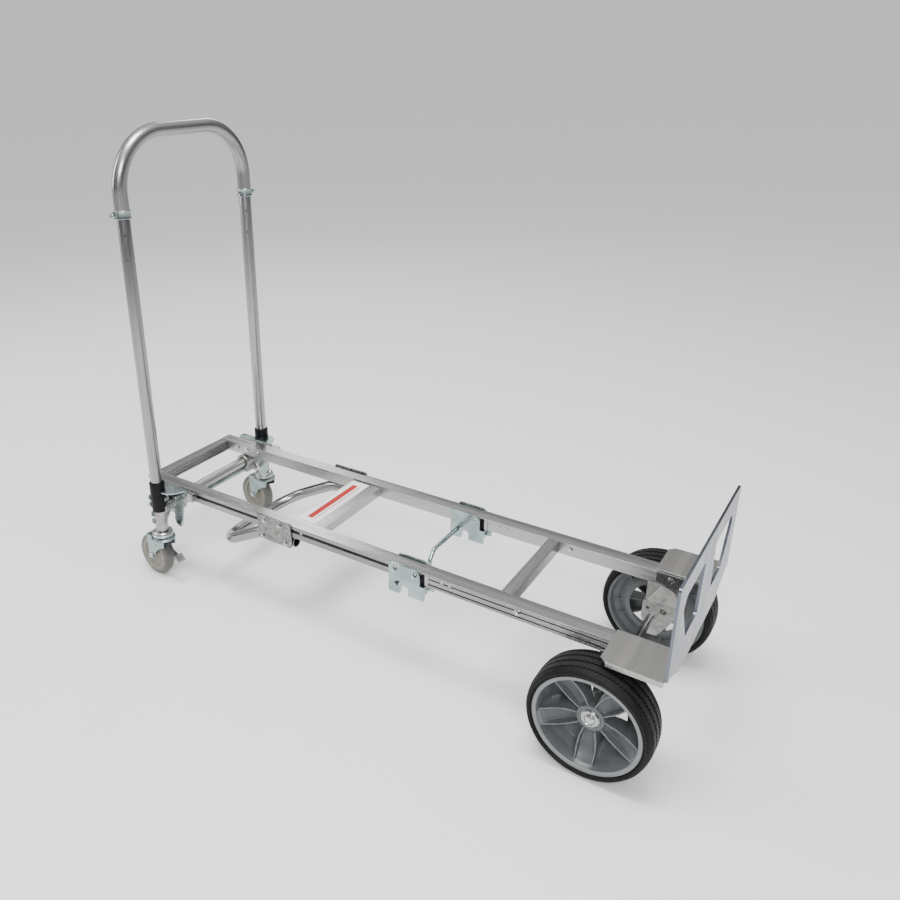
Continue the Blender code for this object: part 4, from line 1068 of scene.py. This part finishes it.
def hex_bolt(across_flats, height, washer):
    """A bolt head on a washer, standing on the XY plane."""
    base = [(0.0, 0.0), (0.0, washer), (0.0009, washer), (0.0014, washer - 0.0005), (0.0014, 0.0)]
    corner = across_flats / 2 / math.cos(math.pi / 6)
    head = [(0.0014, corner), (height, corner), (height + 0.0006, corner * 0.86)]
    return merge_shapes([turned(base, "z", ORIGIN, 32), turned(head, "z", ORIGIN, 6)])


def rivet(radius, height):
    arc = [math.radians(angle) for angle in (0, 25, 50, 72)]
    dome = [(height * math.sin(a), radius * math.cos(a)) for a in arc]
    return turned([(0.0, 0.0), *dome, (height, 0.0)], "z", ORIGIN, 28)


def fasten(name, body, slot, shape, places, material):
    """Sets a fastener at each ((x, y, z), facing direction)."""
    template = mesh_object(f"{name}_template", shape, material)
    cloud = bpy.data.meshes.new(name)
    cloud.from_pydata([place for place, _ in places], [], [])
    facing = cloud.attributes.new("facing", "FLOAT_VECTOR", "POINT")
    for k, (_, direction) in enumerate(places):
        facing.data[k].vector = Vector(direction).normalized()
    settings = {"Fastener": template, "Size": 1.0, "Finish": material}
    made = run_tree(name, FASTEN, settings, cloud, 30.0)
    bpy.data.objects.remove(template)
    hand_over(made, body, slot)
    print(f"{name}: {len(places)}")


# %% Where the frame's fasteners go
OUT, INTO = 1, -1
RAIL_INNER, RAIL_OUTER = (corner[1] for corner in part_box("upper_rail_far"))
INNER_FACE, SLOT_FLOOR, HOOK_FACE = RAIL_INNER + 0.0012, RAIL_OUTER - 0.0042, 0.1755
low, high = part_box("grab_plate_near")
bolts = [(x, PLATE_FACE, high[2] - 0.0115, OUT) for x in (low[0] + 0.026, high[0] - 0.033)]
bolts += [(x, PLATE_FACE, low[2] + 0.0110, OUT) for x in (low[0] + 0.018, high[0] - 0.016)]
low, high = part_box("latch_saddle_near")
saddle_x = (low[0] + 0.0150, low[0] + 0.0670)
saddle_inner, saddle_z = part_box("latch_saddle_far")[0][1], high[2] - 0.0160
bolts += [(x, PLATE_FACE, saddle_z, OUT) for x in saddle_x]
bolts += [(0.3985, RAIL_OUTER, 0.2550, OUT), (0.3985, INNER_FACE, 0.2550, INTO)]
bolts += [(0.6305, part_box("cheek_plate_far")[0][1], 0.2575, INTO)]
bolts += [(x, INNER_FACE, 0.2560, INTO) for x in (-0.6465, -0.6095, -0.5635)]
bolts += [(x, HOOK_FACE, 0.2560, OUT) for x in (-0.6600, -0.5680)]
rivets = [(x, saddle_inner, saddle_z, INTO) for x in saddle_x]
for x in (0.2185, 0.2385):
    rivets += [(x, RAIL_OUTER, 0.2600, OUT), (x, INNER_FACE, 0.2560, INTO)]
rivets += [(x, SLOT_FLOOR, 0.2530, OUT) for x in (-0.1775, 0.3575, -0.7005)]
holes = [(0.5695, INNER_FACE, 0.2580, INTO), (-0.1210, SLOT_FLOOR, 0.2540, OUT)]


def both_sides(rows):
    """(x, distance out, z, way it faces) rows as a place and a direction on each side."""
    return [((x, s * y, z), (0, s * way, 0)) for s in SIDES.values() for x, y, z, way in rows]


ZINC, STEEL = "zinc_plated_steel", "dark_steel"
# Each open hole is a thin near-black disc: painted shade for the dark inside of the hole.
fasten("open_holes", "frame", STEEL, rivet(0.0032, 0.0003), both_sides(holes), recess_shade_finish)
fasten("frame_bolts", "frame", ZINC, hex_bolt(0.0100, 0.0052, 0.0072), both_sides(bolts), chrome_finish)
fasten("frame_rivets", "frame", ZINC, rivet(0.0040, 0.0018), both_sides(rivets), chrome_finish)

# %% Where the handle's fasteners go
handle_bolts, handle_nuts, leg_buttons = [], [], []
SLEEVE_FACE, ELBOW_FACE = 0.0201, 0.0166
for s in SIDES.values():
    turn = math.radians(25)
    facing = Vector((-math.cos(turn), s * math.sin(turn), 0))
    leg = Vector((LEG_X, s * LEG_Y, 0))

    def round_leg(direction, face, z):
        return tuple(leg + direction * face + Vector((0, 0, z))), tuple(direction)

    handle_bolts += [round_leg(facing, SLEEVE_FACE, z) for z in (0.2440, 0.2235)]
    handle_nuts.append(round_leg(-facing, SLEEVE_FACE, 0.2440))
    handle_bolts += [round_leg(Vector((-0.80, s * 0.60, 0)), ELBOW_FACE, z) for z in (0.1960, 0.1740)]
    leg_buttons += [((LEG_X + 0.0112, s * LEG_Y - 0.0112, z), (1, -1, 0)) for z in (0.9460, 0.8880)]
    leg_buttons.append(((LEG_X, s * (LEG_Y - LOOP_RADIUS - 0.0026), 0.9935), (0, -s, 0)))
fasten("handle_bolts", "handle", ZINC, hex_bolt(0.0130, 0.0068, 0.0090), handle_bolts, zinc_finish)
fasten("handle_nuts", "handle", ZINC, hex_bolt(0.0110, 0.0058, 0.0078), handle_nuts, chrome_finish)
fasten("leg_buttons", "handle", STEEL, rivet(0.0026, 0.0012), leg_buttons, dark_finish)


# %% [markdown]
# ## The label
#
# A thin white film lies on the wide cross member, with plain red bands and no lettering. A film this
# thin is still given real thickness, so that its edge catches light.

# %% Label film and bands
low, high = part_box("wide_cross_member")
film_left, film_right, margin = low[0] + 0.0040, low[0] + 0.0560, 0.006
film_top, band_top, band_reach = high[2] + 0.0004, high[2] + 0.0006, 0.100
film = block((film_left, low[1] + margin, high[2]), (film_right, high[1] - margin, film_top))
edges = ((0.018, 0.034), (0.040, 0.0425))
bands = [block((low[0] + a, -band_reach, film_top), (low[0] + b, band_reach, band_top)) for a, b in edges]
ribs = []
for x in (film_right + 0.0040 + 0.0056 * k for k in range(5)):
    rib = [(x, high[2]), (x + 0.0009, high[2] + 0.0007), (x + 0.0018, high[2])]
    ribs.append(cut_out(rib, "y", low[1] + 0.0005, high[1] - 0.0005))
for name, shapes, material in (
    ("label_film", [film], label_finish),
    ("label_bands", bands, stripe_finish),
    ("member_ribs", ribs, member_finish),
):
    hand_over(mesh_object(name, merge_shapes(shapes), material), "frame", "mill_aluminium")
print("label:", round(film_right - film_left, 3), "by", round(high[1] - low[1] - 2 * margin, 3))


# %% [markdown]
# ## Brake pedal
#
# The pedal is a short black arm that ends in a bright ribbed pad for the toe. Both are drawn side-on in
# the caster's own plane, which its hinge gives, and then carried to their place in the world.

# %% The pedal in its caster's plane
pedal_joint = next(j for j in frame["joints"] if j["name"] == "brake_pedal_press")
hinge_line = Vector(pedal_joint["axis"]).normalized()
forward = hinge_line.cross(Vector((0, 0, 1))).normalized()
pedal_turn = Matrix((forward, hinge_line, (0, 0, 1))).transposed().to_4x4()
pedal_frame = Matrix.Translation(pedal_joint["pos_m"]) @ pedal_turn
arm = [(-0.0030, 0.0030), (-0.0018, -0.0130), (0.0030, -0.0240), (0.0100, -0.0265), (0.0330, -0.0400)]
arm += [(0.0400, -0.0395), (0.0440, -0.0320), (0.0410, -0.0310), (0.0130, -0.0200), (0.0060, -0.0120)]
arm = cut_out([*arm, (0.0045, 0.0030)], "y", -0.0065, 0.0065)
arm_pin = turned([(-0.0168, 0.0), (-0.0168, 0.0045), (0.0168, 0.0045), (0.0168, 0.0)], "y", ORIGIN, 24)
arm = merge_shapes([arm, arm_pin])
bmesh.ops.transform(arm, matrix=pedal_frame, verts=arm.verts)
stand_for(mesh_object("brake_arm", arm, dark_finish), "brake_pedal")

PAD_TILT, PAD_LENGTH, PAD_WIDTH = math.radians(38), 0.0225, 0.0245
pad = [block((-PAD_LENGTH / 2, -PAD_WIDTH / 2, -0.0012), (PAD_LENGTH / 2, PAD_WIDTH / 2, 0.0012))]
RIBS = 4
for k in range(RIBS):
    x = PAD_LENGTH * ((k + 0.5) / RIBS - 0.5)
    rib = [(x - 0.0016, 0.0010), (x + 0.0016, 0.0010), (x + 0.0009, 0.0034), (x - 0.0009, 0.0034)]
    pad.append(cut_out(rib, "y", -PAD_WIDTH / 2 + 0.001, PAD_WIDTH / 2 - 0.001))
pad = merge_shapes(pad)
place = Matrix.Translation((0.0445, 0.0, -0.0310)) @ Matrix.Rotation(PAD_TILT, 4, "Y")
bmesh.ops.transform(pad, matrix=pedal_frame @ place, verts=pad.verts)
stand_for(mesh_object("brake_pad", pad, chrome_finish), "brake_pedal")
print("pad ribs:", RIBS)


# %% [markdown]
# ## What is left of the frame
#
# The wheel bearings are the only CAD pieces that still show, deep inside the hubs. They keep their
# shape and take a plated finish.

# %% Finish the remaining nodes
for side in SIDES:
    paint(frame["nodes"][f"wheel_bearing_{side}"], zinc_finish)


# %% [markdown]
# ## Floor, light and camera
#
# The truck stands on a plain pale floor. Polished metal shows what is round it, so the light matters
# more than the floor: broad soft panels give long clean highlights, and a sky that darkens towards the
# horizon gives the tubes their dark edges.

# %% Floor and backdrop
floor_shape = bmesh.new()
sweep = 60.0
corners = [(-sweep, -sweep), (sweep, -sweep), (sweep, sweep), (-sweep, sweep)]
floor_shape.faces.new([floor_shape.verts.new((x, y, 0.0)) for x, y in corners])
floor_material = bpy.data.materials.new("studio_floor")
floor_material.use_nodes = True
floor_shader = floor_material.node_tree.nodes["Principled BSDF"].inputs
floor_shader["Base Color"].default_value = (0.86, 0.86, 0.86, 1.0)
floor_shader["Roughness"].default_value = 0.75
floor_shader["Specular IOR Level"].default_value = 0.2
floor = mesh_object("studio_floor", floor_shape, floor_material)

# %% Sky
world = bpy.data.worlds.new("studio")
bpy.context.scene.world = world
world.use_nodes = True
sky = world.node_tree
place = add(sky, "ShaderNodeTexCoord").outputs["Generated"]
height = add(sky, "ShaderNodeSeparateXYZ", {"Vector": place}).outputs["Z"]
ramp = add(sky, "ShaderNodeValToRGB", {"Fac": add_range(sky, height, -1.0, 1.0)})
stops = [(0.0, 0.60), (0.49, 0.50), (0.515, 0.05), (0.58, 0.12), (0.68, 0.42), (0.78, 0.34), (1.0, 1.2)]
while len(ramp.color_ramp.elements) < len(stops):
    ramp.color_ramp.elements.new(0.5)
for element, (position, value) in zip(ramp.color_ramp.elements, stops):
    element.position = position
    element.color = (value, value, value * 1.01, 1.0)
seen = add(sky, "ShaderNodeLightPath").outputs["Is Camera Ray"]
inputs = {"Factor": seen, "A": ramp.outputs["Color"], "B": (0.71, 0.71, 0.71, 1.0)}
backdrop = add(sky, "ShaderNodeMix", inputs, data_type="RGBA").outputs["Result"]
give(sky, sky.nodes["Background"].inputs["Color"], backdrop)


# %% Soft panels
def soft_panel(name, place, aim, size, power):
    data = bpy.data.lights.new(name, "AREA")
    data.shape = "RECTANGLE"
    data.size, data.size_y = size
    data.energy = power
    panel = bpy.data.objects.new(name, data)
    bpy.context.scene.collection.objects.link(panel)
    panel.location = place
    panel.rotation_euler = (Vector(aim) - Vector(place)).to_track_quat("-Z", "Y").to_euler()


soft_panel("key_panel", (1.8, -2.8, 3.0), (0.0, 0.0, 0.3), (1.8, 1.0), 110.0)
soft_panel("fill_panel", (-3.2, -1.4, 2.0), (0.0, 0.0, 0.4), (1.2, 2.0), 50.0)
soft_panel("back_panel", (-2.4, 2.6, 2.6), (0.0, 0.0, 0.3), (0.5, 1.8), 18.0)
soft_panel("top_panel", (0.2, -0.4, 3.8), (0.0, 0.0, 0.0), (1.8, 1.2), 130.0)

# %% Camera
yaw, pitch, roll = math.radians(124.72), math.radians(22.85), math.radians(-0.90)
ahead = Vector((math.cos(yaw) * math.cos(pitch), math.sin(yaw) * math.cos(pitch), -math.sin(pitch)))
level = ahead.cross(Vector((0, 0, 1))).normalized()
above = level.cross(ahead)
right = level * math.cos(roll) + above * math.sin(roll)
above = above * math.cos(roll) - level * math.sin(roll)
camera_data = bpy.data.cameras.new("camera")
camera_data.sensor_width, camera_data.lens = 36.0, 33.12
camera_data.shift_x, camera_data.shift_y = 0.0927, -0.0396
camera = bpy.data.objects.new("camera", camera_data)
bpy.context.scene.collection.objects.link(camera)
look = Matrix((right, above, -ahead)).transposed().to_4x4()
camera.matrix_world = Matrix.Translation((0.9560, -1.5049, 1.3052)) @ look
bpy.context.scene.camera = camera
print("camera height:", round(camera.matrix_world.translation.z, 3))
